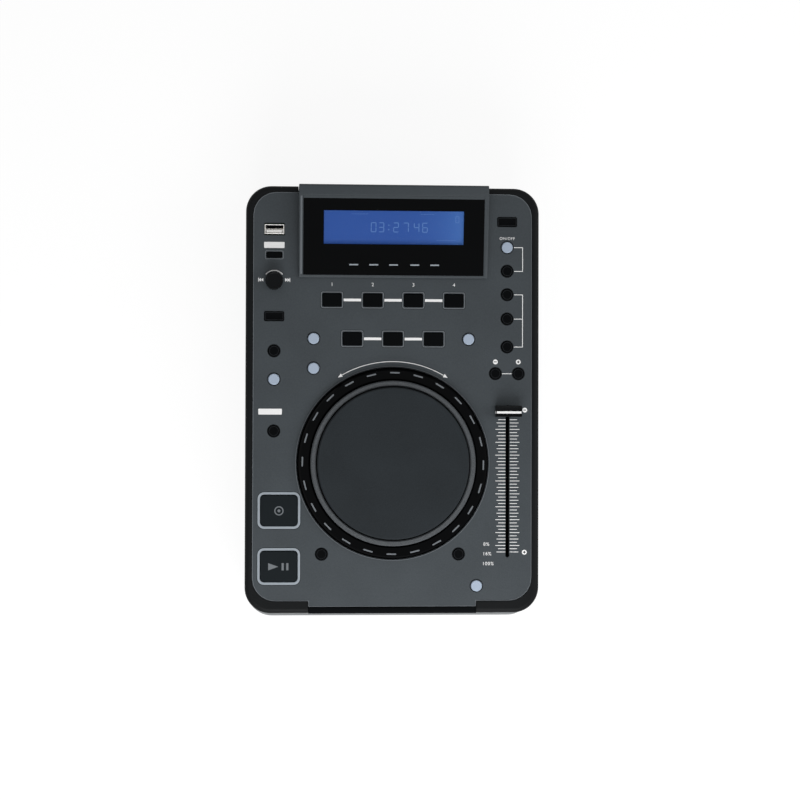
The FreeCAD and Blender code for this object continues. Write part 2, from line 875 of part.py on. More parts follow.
def make_display_housing():
    """Wedge on the deck with a recess for the window, an opening for the screen and a rear skirt."""
    body = new_body("display_housing")
    side = "housing_width / 2"
    profile = [
        ("housing_front", "0"),
        ("skirt_front", "0"),
        ("skirt_front", "0 - bumper_depth"),
        ("half_length", "0 - bumper_depth"),
        ("half_length", "crest_height - crest_bevel"),
        ("half_length - crest_bevel", "crest_height"),
        ("crest_front", "crest_height"),
        ("housing_front", "housing_step"),
    ]
    add(body, f"0 - {side}", side, polygon, profile, plane="YZ_Plane")
    recess = [
        ("window_front", housing_rise("window_front") + " - window_drop"),
        ("window_rear", housing_rise("window_rear") + " - window_drop"),
        ("window_rear", "crest_height * 2"),
        ("window_front", "crest_height * 2"),
    ]
    cut(body, "0 - window_width / 2", "window_width / 2", polygon, recess, plane="YZ_Plane")
    ceiling = "window_drop + housing_wall"
    hollow = [
        ("screen_opening_front", "0"),
        ("crest_front", "0"),
        ("crest_front", housing_rise("crest_front") + f" - ({ceiling})"),
        ("screen_opening_front", housing_rise("screen_opening_front") + f" - ({ceiling})"),
    ]
    inner = "housing_width / 2 - housing_wall"
    cut(body, f"0 - ({inner})", inner, polygon, hollow, plane="YZ_Plane")
    screen = (
        "0 - opening_width / 2",
        "opening_width / 2",
        "screen_opening_front",
        "screen_opening_rear",
    )
    cut(body, "0", "crest_height", box, *screen)
    on_deck(body)


def make_window_layer(name, half_width, front, rear, top_drop, low_drop):
    """A flat piece that lies parallel to the housing's slope, some way below it."""
    body = new_body(name)
    profile = [
        (front, housing_rise(front) + f" - ({low_drop})"),
        (rear, housing_rise(rear) + f" - ({low_drop})"),
        (rear, housing_rise(rear) + f" - ({top_drop})"),
        (front, housing_rise(front) + f" - ({top_drop})"),
    ]
    add(body, f"0 - ({half_width})", half_width, polygon, profile, plane="YZ_Plane")
    on_deck(body)


def make_display():
    """Smoked window in the housing's recess, with the screen module under it."""
    make_window_layer(
        "display_window",
        "window_width / 2 - window_gap",
        "window_front + window_gap",
        "window_rear - window_gap",
        "0",
        "window_drop",
    )
    make_window_layer(
        "lcd_module",
        "screen_width / 2",
        "screen_front",
        "screen_rear",
        "window_drop + seat_gap",
        "window_drop + seat_gap + screen_depth",
    )


def make_front_fascia():
    """Bezel under the tongue with the disc slot, and ears that lie behind the bumpers."""
    body = new_body("front_fascia")
    low = "0 - bumper_depth"
    side = "tongue_width / 2 - fascia_gap + seat_gap"
    front = "0 - half_length"
    behind = f"{front} + fascia_wall"
    add(body, low, "bumper_rise", box, f"0 - ({side})", side, front, behind)
    shelf_top = "0 - plate_sheet"
    shelf = (f"0 - ({side})", side, behind, "ledge_width - tongue_front")
    add(body, f"{shelf_top} - ledge_sheet", shelf_top, box, *shelf)
    ear = f"{side} + fascia_ear"
    ear_front = f"{front} + bumper_wall + seat_gap"
    ear_box = (f"0 - ({ear})", ear, ear_front, f"{ear_front} + fascia_ear_sheet")
    add(body, f"{low} + seat_gap", f"{shelf_top} - ledge_sheet - seat_gap", box, *ear_box)
    slot_low = "slot_level - slot_height / 2"
    slot_rear = f"{ear_front} + fascia_wall"
    slot_box = ("0 - slot_width / 2", "slot_width / 2", f"{front} - fascia_wall", slot_rear)
    cut(body, slot_low, "slot_level + slot_height / 2", box, *slot_box)
    on_deck(body)


def make_rear_panel():
    """Upright sheet behind the case's open back, with cut-outs for the sockets."""
    body = new_body("rear_panel")
    outer = "0 - (panel_outer)"
    inner = "0 - (panel_inner)"
    half = "panel_width / 2"
    add(body, outer, inner, box, f"0 - {half}", half, "floor_top", "panel_top", plane="XZ_Plane")
    inlet = (
        "inlet_column - inlet_body_width / 2 - seat_gap",
        "inlet_column + inlet_body_width / 2 + seat_gap",
        "socket_level - inlet_body_height / 2 - seat_gap",
        "socket_level + inlet_body_height / 2 + seat_gap",
    )
    cut(body, outer, inner, box, *inlet, plane="XZ_Plane")
    for place in range(3):
        column = f"jack_column + jack_pitch * {place}"
        hole = (column, "socket_level", "jack_barrel_radius + seat_gap")
        cut(body, outer, inner, circle, *hole, plane="XZ_Plane")


def make_feet():
    """Four rubber feet, recessed for the screws that hold them and the case."""
    feet = []
    screws = []
    for place in range(4):
        side = "foot_column" if place % 2 else "0 - foot_column"
        row = "foot_row" if place // 2 else "0 - foot_row"
        foot = new_body(f"foot_{place + 1}", kept=False)
        hole = "screw_radius + screw_clearance"
        head = "screw_head_radius + screw_clearance"
        turn(
            foot,
            [
                (head, "0"),
                ("foot_radius - pan_wall", "0"),
                ("foot_radius", "pan_wall"),
                ("foot_radius", "foot_height"),
                (hole, "foot_height"),
                (hole, "screw_head_height + pan_wall"),
                (head, "screw_head_height + pan_wall"),
            ],
        )
        screw = new_body(f"screw_{place + 1}", kept=False)
        turn(
            screw,
            [
                ("0", "pan_wall"),
                ("screw_head_radius", "pan_wall"),
                ("screw_head_radius", "screw_head_height + pan_wall"),
                ("screw_radius", "screw_head_height + pan_wall"),
                ("screw_radius", "screw_length"),
                ("0", "screw_length"),
            ],
        )
        for item in (foot, screw):
            tie(item, "Placement.Base.x", side)
            tie(item, "Placement.Base.y", row)
        feet.append(foot)
        screws.append(screw)
    group("rubber_feet", feet)
    group("case_screws", screws)


# Keys


def round_key(body, rise):
    """Round key: a cap through the deck, a flange under it and a stem over its switch."""
    cap = "round_key_width / 2"
    flange = f"{cap} + flange_margin"
    flange_low = "flange_top - flange_sheet"
    turn(
        body,
        [
            ("0", "stem_low"),
            ("stem_radius", "stem_low"),
            ("stem_radius", flange_low),
            (flange, flange_low),
            (flange, "flange_top"),
            (cap, "flange_top"),
            (cap, f"{rise} - key_bevel"),
            (f"{cap} - key_bevel", rise),
            ("0", rise),
        ],
    )


def flat_key(body, kind):
    """Rectangular key with the same build, its cap scooped where the kind asks for it."""
    width, depth, corner, margin = FLAT_KEYS[kind]
    flange_low = "flange_top - flange_sheet"

    def outline(sketch, grown):
        across = f"{width} / 2 + {grown}"
        along = f"{depth} / 2 + {grown}"
        rounded_box(sketch, f"0 - ({across})", across, f"0 - ({along})", along, f"{corner} + {grown}")

    add(body, "flange_top", "key_rise", outline, "0")
    if kind == "scoop":
        scoop = ("0", "key_rise - scoop_depth + scoop_radius", "scoop_radius")
        cut(body, f"0 - {width}", width, circle, *scoop, plane="YZ_Plane")
    add(body, flange_low, "flange_top", outline, margin)
    add(body, "stem_low", flange_low, circle, "0", "0", "stem_radius")


def make_keys():
    """Every key in its own hole, over its own switch."""
    bevelled = []
    for name, kind, across, along in KEYS:
        body = new_body(name)
        if kind in FLAT_KEYS:
            flat_key(body, kind)
        else:
            round_key(body, "lens_rise" if kind == "lens" else "key_rise")
        on_deck(body, across, along)
        if kind in FLAT_KEYS and kind != "scoop":
            bevelled.append(body)
    dress(bevelled, "Chamfer", "key_bevel", "key_rise")


# Board under the deck, with what is soldered on it


def make_control_board():
    """Board with a hole round the jog bearing, one switch under each key, and the encoder body."""
    board = new_body("control_circuit", kept=False)
    half = "board_width / 2"
    outline = (f"0 - {half}", half, "0 - board_front", "board_rear", "board_corner")
    add(board, "board_low", "board_top", rounded_box, *outline)
    cut(board, "board_low", "board_top", circle, "0", "jog_row", "board_hole")
    fader = (
        "fader_column - fader_body_width / 2 - slide_gap",
        "fader_column + fader_body_width / 2 + slide_gap",
        "fader_body_front - slide_gap",
        "fader_body_rear + slide_gap",
    )
    cut(board, "board_low", "board_top", box, *fader)
    screen = (
        "0 - opening_width / 2",
        "opening_width / 2",
        "screen_opening_front - board_gap",
        "board_rear + board_gap",
    )
    cut(board, "board_low", "board_top", box, *screen)
    on_deck(board)
    members = [board]
    for name, kind, across, along in KEYS:
        switch = new_body(name.replace("_key", "_switch"), kept=False)
        half = "switch_width / 2"
        add(switch, "board_top", "switch_top", box, f"0 - {half}", half, f"0 - {half}", half)
        on_deck(switch, across, along)
        members.append(switch)
    encoder = new_body("encoder_body", kept=False)
    half = "encoder_body_width / 2"
    add(encoder, "board_top", "encoder_body_top", box, f"0 - {half}", half, f"0 - {half}", half)
    bore = ("0", "0", "encoder_shaft_radius + running_gap")
    cut(encoder, "board_top", "encoder_body_top", circle, *bore)
    on_deck(encoder, "left_column", "encoder_row")
    members.append(encoder)
    group("control_board", members)


def make_encoder_knob():
    """Push-on knob with its shaft, which turns in the encoder body."""
    body = new_body("encoder_knob")
    turn(
        body,
        [
            ("0", "board_top + seat_gap"),
            ("encoder_shaft_radius", "board_top + seat_gap"),
            ("encoder_shaft_radius", "encoder_knob_gap"),
            ("encoder_knob_radius", "encoder_knob_gap"),
            ("encoder_knob_radius", "encoder_knob_top - encoder_knob_bevel"),
            ("encoder_knob_radius - encoder_knob_bevel", "encoder_knob_top"),
            ("0", "encoder_knob_top"),
        ],
    )
    on_deck(body, "left_column", "encoder_row")


def make_usb_socket():
    """Metal shell that opens upwards through the deck, with its plastic tongue."""
    shell = new_body("usb_shell", kept=False)
    across = "usb_width / 2"
    along = "usb_depth / 2"
    outer = (f"0 - {across}", across, f"0 - {along}", along)
    add(shell, "board_top", "usb_top", box, *outer)
    inner = (
        f"usb_wall - {across}",
        f"{across} - usb_wall",
        f"usb_wall - {along}",
        f"{along} - usb_wall",
    )
    cut(shell, "board_top + usb_floor", "usb_top", box, *inner)
    tongue = new_body("usb_tongue", kept=False)
    half = "usb_tongue_width / 2"
    sides = (
        f"0 - {half}",
        half,
        "0 - usb_tongue_shift - usb_tongue_sheet / 2",
        "usb_tongue_sheet / 2 - usb_tongue_shift",
    )
    add(tongue, "board_top + usb_floor", "usb_top - usb_tongue_drop", box, *sides)
    for item in (shell, tongue):
        on_deck(item, "left_column", "usb_row")
    group("usb_socket", [shell, tongue])


# Pitch fader


def make_fader():
    """Slide body under the deck, lever through the slot, and the knob on the lever."""
    slide = new_body("fader_body")
    half = "fader_body_width / 2"
    inner = f"{half} - fader_body_wall"
    top = "0 - plate_sheet"
    add(slide, "fader_body_low", top, box, f"0 - {half}", half, "fader_body_front", "fader_body_rear")
    channel = (
        f"0 - ({inner})",
        inner,
        "fader_body_front + fader_body_wall",
        "fader_body_rear - fader_body_wall",
    )
    cut(slide, "fader_body_low + fader_body_wall", f"{top} - fader_body_wall", box, *channel)
    slot = ("0", "fader_slot_front", "fader_slot_rear", "fader_slot_width")
    cut(slide, f"{top} - fader_body_wall", top, upright_slot, *slot)
    on_deck(slide, "fader_column", "0")

    lever = new_body("fader_lever")
    half = "carriage_width / 2"
    long_half = "lever_width / 2 + fader_body_wall"
    carriage = (f"0 - {half}", half, f"0 - ({long_half})", long_half)
    add(lever, "carriage_low", "carriage_low + carriage_height", box, *carriage)
    blade = ("0 - lever_sheet / 2", "lever_sheet / 2", "0 - lever_width / 2", "lever_width / 2")
    add(lever, "carriage_low + carriage_height", "lever_rise", box, *blade)
    on_deck(lever, "fader_column", "fader_rest_row")

    knob = new_body("fader_knob")
    across = "fader_knob_width / 2"
    along = "fader_knob_depth / 2"
    sides = (f"0 - {across}", across, f"0 - {along}", along, "fader_knob_round")
    add(knob, "fader_knob_gap", "fader_knob_gap + fader_knob_height", rounded_box, *sides)
    dress([knob], "Fillet", "fader_knob_round / 2", "fader_knob_gap + fader_knob_height")
    socket = (
        "0 - lever_sheet / 2 - running_gap",
        "lever_sheet / 2 + running_gap",
        "0 - lever_width / 2 - running_gap",
        "lever_width / 2 + running_gap",
    )
    cut(knob, "fader_knob_gap", "lever_rise + running_gap", box, *socket)
    on_deck(knob, "fader_column", "fader_rest_row")


# Jog wheel


def make_jog_wheel():
    """Fixed cup with its post, and the ring, rim and platter that turn on it together."""
    bearing = new_body("jog_bearing")
    low = "0 - cup_depth"
    turn(
        bearing,
        [
            ("0", low),
            ("cup_radius", low),
            ("cup_radius", "0 - plate_sheet"),
            ("cup_radius - cup_wall", "0 - plate_sheet"),
            ("cup_radius - cup_wall", "cup_wall - cup_depth"),
            ("post_radius", "cup_wall - cup_depth"),
            ("post_radius", "post_top"),
            ("0", "post_top"),
        ],
    )
    ring = new_body("jog_ring")
    bore = "post_radius + running_gap"
    inner = "ring_radius - ring_width"
    hub_low = "cup_wall - cup_depth + seat_gap"
    turn(
        ring,
        [
            (bore, hub_low),
            ("hub_radius", hub_low),
            ("hub_radius", "web_top - web_sheet"),
            ("ring_radius", "web_top - web_sheet"),
            ("ring_radius", "ring_top - ring_bevel"),
            ("ring_radius - ring_bevel", "ring_top"),
            (f"{inner} + ring_bevel", "ring_top"),
            (inner, "ring_top - ring_bevel"),
            (inner, "web_top"),
            ("hub_radius", "web_top"),
            ("hub_radius", "hub_top"),
            (bore, "hub_top"),
        ],
    )
    rim = new_body("jog_rim")
    inner = "rim_radius - rim_width"
    turn(
        rim,
        [
            (inner, "web_top"),
            ("rim_radius", "web_top"),
            ("rim_radius", "rim_top - rim_bevel"),
            ("rim_radius - rim_bevel", "rim_top"),
            (f"{inner} + rim_bevel", "rim_top"),
            (inner, "rim_top - rim_bevel"),
        ],
    )
    platter = new_body("jog_platter")
    inner = "platter_radius - platter_sheet"
    under = "platter_top - platter_sheet"
    turn(
        platter,
        [
            ("0", under),
            (inner, under),
            (inner, "web_top"),
            ("platter_radius", "web_top"),
            ("platter_radius", "platter_top - platter_bevel"),
            ("platter_radius - platter_bevel", "platter_top"),
            ("0", "platter_top"),
        ],
    )
    for item in (bearing, ring, rim, platter):
        on_deck(item, "0", "jog_row")


# Slot loader


def make_loader_frame():
    """Folded sheet frame on four legs, with the brackets and rails of the laser sled."""
    body = new_body("loader_frame")
    half = "loader_width / 2"
    inner = f"{half} - loader_sheet"
    floor = "loader_low + loader_sheet"
    add(body, "loader_low", "loader_high", box, f"0 - {half}", half, "loader_front", "loader_rear")
    inside = (f"0 - ({inner})", inner, "loader_front - loader_sheet", "loader_rear + loader_sheet")
    cut(body, floor, "loader_high - loader_sheet", box, *inside)
    hole = ("0", "spindle_row", "clamp_hole_radius")
    cut(body, "loader_high - loader_sheet", "loader_high", circle, *hole)
    for bracket in ("front_bracket - bracket_sheet", "rear_bracket"):
        sides = ("0 - bracket_width / 2", "bracket_width / 2", bracket, f"{bracket} + bracket_sheet")
        add(body, floor, "rail_level + rail_radius * 2", box, *sides)
    for side in ("0 - rail_column", "rail_column"):
        rail = (side, "rail_level", "rail_radius")
        add(body, "0 - (rear_bracket)", "0 - (front_bracket)", circle, *rail, plane="XZ_Plane")
    for side in (f"leg_margin - {half}", f"{half} - leg_margin"):
        for row in ("loader_front + leg_margin", "loader_rear - leg_margin"):
            add(body, "floor_top", "loader_low", circle, side, row, "leg_radius")
    axle = ("roller_row", "roller_level", "axle_radius + running_gap")
    cut(body, f"0 - {half}", half, circle, *axle, plane="YZ_Plane")


def make_loading_roller():
    """Rubber roller on an axle that turns in the frame's side walls."""
    body = new_body("loading_roller")
    place = ("roller_row", "roller_level")
    half = "roller_length / 2"
    add(body, f"0 - {half}", half, circle, *place, "roller_radius", plane="YZ_Plane")
    end = "loader_width / 2 + loader_sheet"
    add(body, f"0 - ({end})", end, circle, *place, "axle_radius", plane="YZ_Plane")


def make_disc_drive():
    """Spindle motor, the turntable on its shaft, and the clamp that hangs in the frame's top."""
    motor = new_body("spindle_motor")
    bore = "spindle_radius + running_gap"
    low = "loader_low + loader_sheet"
    motor_bore_low = f"{low} + loader_sheet"
    turn(
        motor,
        [
            ("0", low),
            ("motor_radius", low),
            ("motor_radius", "motor_top"),
            (bore, "motor_top"),
            (bore, motor_bore_low),
            ("0", motor_bore_low),
        ],
    )
    turntable = new_body("turntable_hub")
    turn(
        turntable,
        [
            ("0", f"{motor_bore_low} + seat_gap"),
            ("spindle_radius", f"{motor_bore_low} + seat_gap"),
            ("spindle_radius", "turntable_low"),
            ("turntable_radius", "turntable_low"),
            ("turntable_radius", "disc_seat"),
            ("disc_boss_radius", "disc_seat"),
            ("disc_boss_radius", "disc_boss_top"),
            ("0", "disc_boss_top"),
        ],
    )
    clamp = new_body("disc_clamp")
    flange_low = "loader_high + seat_gap"
    turn(
        clamp,
        [
            ("0", "clamp_low"),
            ("clamp_radius", "clamp_low"),
            ("clamp_radius", "clamp_low + clamp_sheet"),
            ("clamp_neck_radius", "clamp_low + clamp_sheet"),
            ("clamp_neck_radius", flange_low),
            ("clamp_flange_radius", flange_low),
            ("clamp_flange_radius", f"{flange_low} + clamp_flange_sheet"),
            ("0", f"{flange_low} + clamp_flange_sheet"),
        ],
    )
    for item in (motor, turntable, clamp):
        tie(item, "Placement.Base.y", "spindle_row")


def make_laser_sled():
    """Sled that slides along both rails and carries the lens."""
    body = new_body("laser_sled")
    half = "sled_width / 2"
    long_half = "sled_length / 2"
    add(body, "sled_low", "sled_high", box, f"0 - {half}", half, f"0 - {long_half}", long_half)
    add(body, "sled_high", "sled_high + lens_height", circle, "0", "0", "lens_radius")
    for side in ("0 - rail_column", "rail_column"):
        bore = (side, "rail_level", "rail_radius + running_gap")
        cut(body, f"0 - {long_half}", long_half, circle, *bore, plane="XZ_Plane")
    tie(body, "Placement.Base.y", "sled_rest_row")


# Boards on the floor of the case


def floor_board(name, left, right, front, rear):
    """Board on four standoffs that stand on the floor, at the height of those standoffs."""
    body = new_body(name)
    low = "floor_top + standoff_height"
    add(body, low, f"{low} + board_sheet", box, left, right, front, rear)
    for column in (f"{left} + standoff_margin", f"{right} - standoff_margin"):
        for row in (f"{front} + standoff_margin", f"{rear} - standoff_margin"):
            add(body, "floor_top", low, circle, column, row, "standoff_radius")
    return body


def make_floor_boards():
    """Main board with its processor, and power board with its transformer and capacitors."""
    top = "floor_top + standoff_height + board_sheet"
    board = floor_board(
        "main_board", "main_board_left", "main_board_right", "main_board_front", "main_board_rear"
    )
    centre = "(main_board_left + main_board_right) / 2"
    middle = "(main_board_front + main_board_rear) / 2"
    chip = (
        f"{centre} - processor_width / 2",
        f"{centre} + processor_width / 2",
        f"{middle} - processor_width / 2",
        f"{middle} + processor_width / 2",
    )
    add(board, top, f"{top} + processor_height", box, *chip)
    supply = floor_board(
        "power_board", "power_board_left", "power_board_right", "power_board_front", "power_board_rear"
    )
    block_left = "power_board_left + standoff_margin * 2"
    block_front = "power_board_front + standoff_margin * 2"
    block = (
        block_left,
        f"{block_left} + transformer_width",
        block_front,
        f"{block_front} + transformer_width",
    )
    add(supply, top, f"{top} + transformer_height", box, *block)
    for place in range(2):
        row = f"power_board_rear - standoff_margin * 3 - capacitor_radius * 3 * {place}"
        spot = ("power_board_right - standoff_margin * 4", row, "capacitor_radius")
        add(supply, top, f"{top} + capacitor_height", circle, *spot)


# Sockets and switch at the back


def make_mains_inlet():
    """Inlet and switch in one module: a well with three pins, and a well for the rocker."""
    body = new_body("mains_inlet")
    plane = "XZ_Plane"
    outer = "0 - (panel_outer) - inlet_bezel_sheet"
    face = "0 - (panel_outer)"
    half = "inlet_body_width / 2"
    tall = "inlet_body_height / 2"

    def block(sketch, margin):
        box(
            sketch,
            f"inlet_column - {half} - {margin}",
            f"inlet_column + {half} + {margin}",
            f"socket_level - {tall} - {margin}",
            f"socket_level + {tall} + {margin}",
        )

    add(body, outer, face, block, "inlet_bezel_margin", plane=plane)
    add(body, face, f"{face} + inlet_body_depth", block, "0", plane=plane)
    well = "inlet_column + inlet_well_shift"
    well_sides = (
        f"{well} - inlet_well_width / 2",
        f"{well} + inlet_well_width / 2",
        "socket_level - inlet_well_height / 2",
        "socket_level + inlet_well_height / 2",
    )
    well_floor = f"{outer} + inlet_well_depth"
    cut(body, outer, well_floor, box, *well_sides, plane=plane)
    pin_level = f"{well_floor} - inlet_pin_length"
    for column in (f"{well} - inlet_pin_pitch / 2", f"{well} + inlet_pin_pitch / 2"):
        pin = (
            f"{column} - inlet_pin_width / 2",
            f"{column} + inlet_pin_width / 2",
            "socket_level - inlet_pin_height / 2",
            "socket_level + inlet_pin_height / 2",
        )
        add(body, pin_level, well_floor, box, *pin, plane=plane)
    earth = (
        f"{well} - inlet_pin_width / 2",
        f"{well} + inlet_pin_width / 2",
        "socket_level + inlet_earth_rise - inlet_pin_height / 2",
        "socket_level + inlet_earth_rise + inlet_pin_height / 2",
    )
    add(body, pin_level, well_floor, box, *earth, plane=plane)
    rocker_sides = (
        "rocker_column - rocker_width / 2 - rocker_well_gap",
        "rocker_column + rocker_width / 2 + rocker_well_gap",
        "socket_level - rocker_height / 2 - rocker_well_gap * 2",
        "socket_level + rocker_height / 2 + rocker_well_gap * 2",
    )
    cut(body, outer, f"{outer} + rocker_well_depth", box, *rocker_sides, plane=plane)
    pin_half = "rocker_width / 2 + rocker_pin_reach + running_gap"
    bore = ("rocker_pivot", "socket_level", "rocker_pin_radius + running_gap")
    low = f"rocker_column - ({pin_half})"
    cut(body, low, f"rocker_column + {pin_half}", circle, *bore, plane="YZ_Plane")


def make_power_rocker():
    """Rocker on two pins, resting on its lower half."""
    body = new_body("power_rocker")
    half = "rocker_width / 2"
    tall = "rocker_height / 2"
    front = "rocker_pivot_depth - rocker_pin_radius / 2"
    profile = [
        ("0 - rocker_pivot_depth", f"rocker_pin_radius - {tall}"),
        (front, f"0 - {tall}"),
        (f"{front} - rocker_pin_radius", "0"),
        (front, tall),
        ("0 - rocker_pivot_depth", f"{tall} - rocker_pin_radius"),
    ]
    add(body, f"0 - {half}", half, polygon, profile, plane="YZ_Plane")
    end = f"{half} + rocker_pin_reach"
    add(body, f"0 - ({end})", end, circle, "0", "0", "rocker_pin_radius", plane="YZ_Plane")
    body.Placement = FreeCAD.Placement(FreeCAD.Vector(), FreeCAD.Rotation(FreeCAD.Vector(1, 0, 0), 1))
    tie(body, "Placement.Rotation.Angle", "rocker_tilt")
    tie(body, "Placement.Base.x", "rocker_column")
    tie(body, "Placement.Base.y", "rocker_pivot")
    tie(body, "Placement.Base.z", "socket_level")


def make_audio_jacks():
    """Three round sockets in one block, their barrels out through the rear panel."""
    body = new_body("audio_jacks")
    plane = "XZ_Plane"
    face = "0 - (panel_inner)"
    margin = "jack_block_height / 2"
    sides = (
        f"jack_column - {margin}",
        f"jack_column + jack_pitch * 2 + {margin}",
        f"socket_level - {margin}",
        f"socket_level + {margin}",
    )
    add(body, face, f"{face} + jack_block_depth", box, *sides, plane=plane)
    tip = "0 - (panel_outer) - jack_barrel_length"
    for place in range(3):
        column = f"jack_column + jack_pitch * {place}"
        add(body, tip, face, circle, column, "socket_level", "jack_barrel_radius", plane=plane)
        bore = (column, "socket_level", "jack_bore_radius")
        cut(body, tip, f"{tip} + jack_bore_depth", circle, *bore, plane=plane)


# Checks and export


def check_and_export():
    """Stop on any failed object or idle cut, then write one file for each piece."""
    for item in doc.Objects:
        if "Invalid" in item.State or "Error" in item.State:
            raise RuntimeError(f"{item.Name} failed: {item.State}")
        if item.TypeId == "PartDesign::Pocket":
            before = item.BaseFeature.Shape.Volume
            if item.Shape.Volume > before - 1e-6:
                raise RuntimeError(f"{item.Name} cuts nothing")
    for item in parts:
        if item.Shape.isNull() or not item.Shape.isValid():
            raise RuntimeError(f"{item.Label} has no valid shape")
    for item in parts:
        item.Shape.exportStep(f"parts/{item.Label}.step")
        print(f"{item.Label}: {len(item.Shape.Solids)} solids, {item.Shape.Volume:.0f} mm3")
    print(f"{len(parts)} pieces")


sheet = fill_sheet()
make_base_pan()
make_bumper("left_bumper", "-1")
make_bumper("right_bumper", "1")
make_fader()
make_keys()
make_top_plate()
make_display_housing()
make_display()
make_front_fascia()
make_rear_panel()
make_feet()
make_control_board()
make_encoder_knob()
make_usb_socket()
make_jog_wheel()
make_loader_frame()
make_loading_roller()
make_disc_drive()
make_laser_sled()
make_floor_boards()
make_mains_inlet()
make_power_rocker()
make_audio_jacks()
doc.recompute()
check_and_export()
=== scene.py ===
# %% [markdown]
# A table-top disc player, dressed for the camera.
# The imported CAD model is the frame. It gives every case part, key, wheel and socket in its real place, so
# this lesson only adds what a metal or plastic part can't show by itself: finishes, printed lines, small
# ribs, contacts and the picture on the screen.

# %% The frame
import json
import math

import bmesh
import bpy
from mathutils import Matrix, Vector


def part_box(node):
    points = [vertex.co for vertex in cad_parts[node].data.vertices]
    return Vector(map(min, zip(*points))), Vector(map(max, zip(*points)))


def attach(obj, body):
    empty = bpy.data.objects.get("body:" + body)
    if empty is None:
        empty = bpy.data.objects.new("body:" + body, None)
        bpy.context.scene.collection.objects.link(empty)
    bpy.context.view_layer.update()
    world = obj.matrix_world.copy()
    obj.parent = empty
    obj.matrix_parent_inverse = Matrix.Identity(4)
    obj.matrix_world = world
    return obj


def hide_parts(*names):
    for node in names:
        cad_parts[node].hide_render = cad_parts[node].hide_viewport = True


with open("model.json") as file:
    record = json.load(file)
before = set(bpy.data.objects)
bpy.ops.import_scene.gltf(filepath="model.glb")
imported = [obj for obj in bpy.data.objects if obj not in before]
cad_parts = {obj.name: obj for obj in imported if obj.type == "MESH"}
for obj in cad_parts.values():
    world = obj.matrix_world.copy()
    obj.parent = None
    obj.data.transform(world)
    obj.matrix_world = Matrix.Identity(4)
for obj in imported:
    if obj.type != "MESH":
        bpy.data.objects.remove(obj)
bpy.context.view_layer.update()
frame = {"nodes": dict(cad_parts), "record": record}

nodes = frame["nodes"]

# %% [markdown]
# The deck slopes by four degrees, so it helps to think in its own directions: u to the right, v up the slope
# and w out of it, in millimetres. Pieces are modelled flat, where their numbers are easy to read, and one
# matrix then lays them on the deck. The display's window slopes a little more, and gets a matrix as well.

# %% Measures and places
MM = 0.001
SLOPE = math.radians(4.0)
DECK_HEIGHT = 74.0
DECK = Matrix.Translation((0, 0, DECK_HEIGHT * MM)) @ Matrix.Rotation(SLOPE, 4, "X")

HOUSING_FRONT = 90.2
HOUSING_STEP = 3.2
WEDGE = (14.0 - HOUSING_STEP) / (150.4 - HOUSING_FRONT)
WINDOW = (
    DECK
    @ Matrix.Translation((0, HOUSING_FRONT * MM, HOUSING_STEP * MM))
    @ Matrix.Rotation(math.atan(WEDGE), 4, "X")
)


def up_window(v):
    """Turn a place up the deck into the distance up the window from its foot."""
    return (v - HOUSING_FRONT) * math.sqrt(1 + WEDGE * WEDGE)


LEFT = -88.0
RIGHT = 85.0
JOG = -47.1
FADER = 85.5
print("the window leans", round(math.degrees(math.atan(WEDGE)), 1), "degrees more than the deck")

# %% [markdown]
# The camera stands where the photographer's did: far away, nearly square to the deck, and a little to the
# left and to the front of its middle. A long lens keeps the sides of the case almost parallel.

# %% Camera
CAMERA_PLACE = (-0.0868, -0.1247, 1.474)
CAMERA_TURNS = ((5.08, "X"), (-3.75, "Y"), (0.22, "Z"))

bpy.ops.object.camera_add()
camera = bpy.context.object
camera.name = "photo_camera"
stand = Matrix.Translation(CAMERA_PLACE)
for degrees, axis in CAMERA_TURNS:
    stand = stand @ Matrix.Rotation(math.radians(degrees), 4, axis)
camera.matrix_world = stand
camera.data.sensor_width = 36.0
camera.data.lens = 85.54
bpy.context.scene.camera = camera
print("the camera hangs", CAMERA_PLACE[2], "m over the floor")

# %% [markdown]
# The studio is plain: a white floor, an even sky and two large soft lamps. The stronger lamp stands low
# before the deck, so it lights the front edge most and falls off to the rear, as in the photograph. The
# other hangs at the right. The camera and the reflections see a white sky, as in a light tent.

# %% Sky and lamps
SKY_LEVEL = 0.28


def area_lamp(name, place, aim, size, power):
    """Hang one soft square lamp and point it."""
    bpy.ops.object.light_add(type="AREA", location=place)
    lamp = bpy.context.object
    lamp.name = name
    lamp.data.size = size
    lamp.data.energy = power
    lamp.rotation_mode = "QUATERNION"
    lamp.rotation_quaternion = (Vector(aim) - Vector(place)).to_track_quat("-Z", "Y")


def seen_rays(tree):
    """Give one where the camera, a reflection or glass looks, and nought for all other light."""
    rays = tree.nodes.new("ShaderNodeLightPath")
    total = rays.outputs["Is Camera Ray"]
    for kind in ("Is Glossy Ray", "Is Transmission Ray"):
        most = tree.nodes.new("ShaderNodeMath")
        most.operation = "MAXIMUM"
        tree.links.new(total, most.inputs[0])
        tree.links.new(rays.outputs[kind], most.inputs[1])
        total = most.outputs[0]
    return total


area_lamp("front_lamp", (0.0, -0.64, 0.54), (0, -0.04, 0.07), 0.6, 5.3)
area_lamp("side_lamp", (0.95, -0.1, 0.85), (0.05, -0.05, 0.05), 0.7, 3.8)

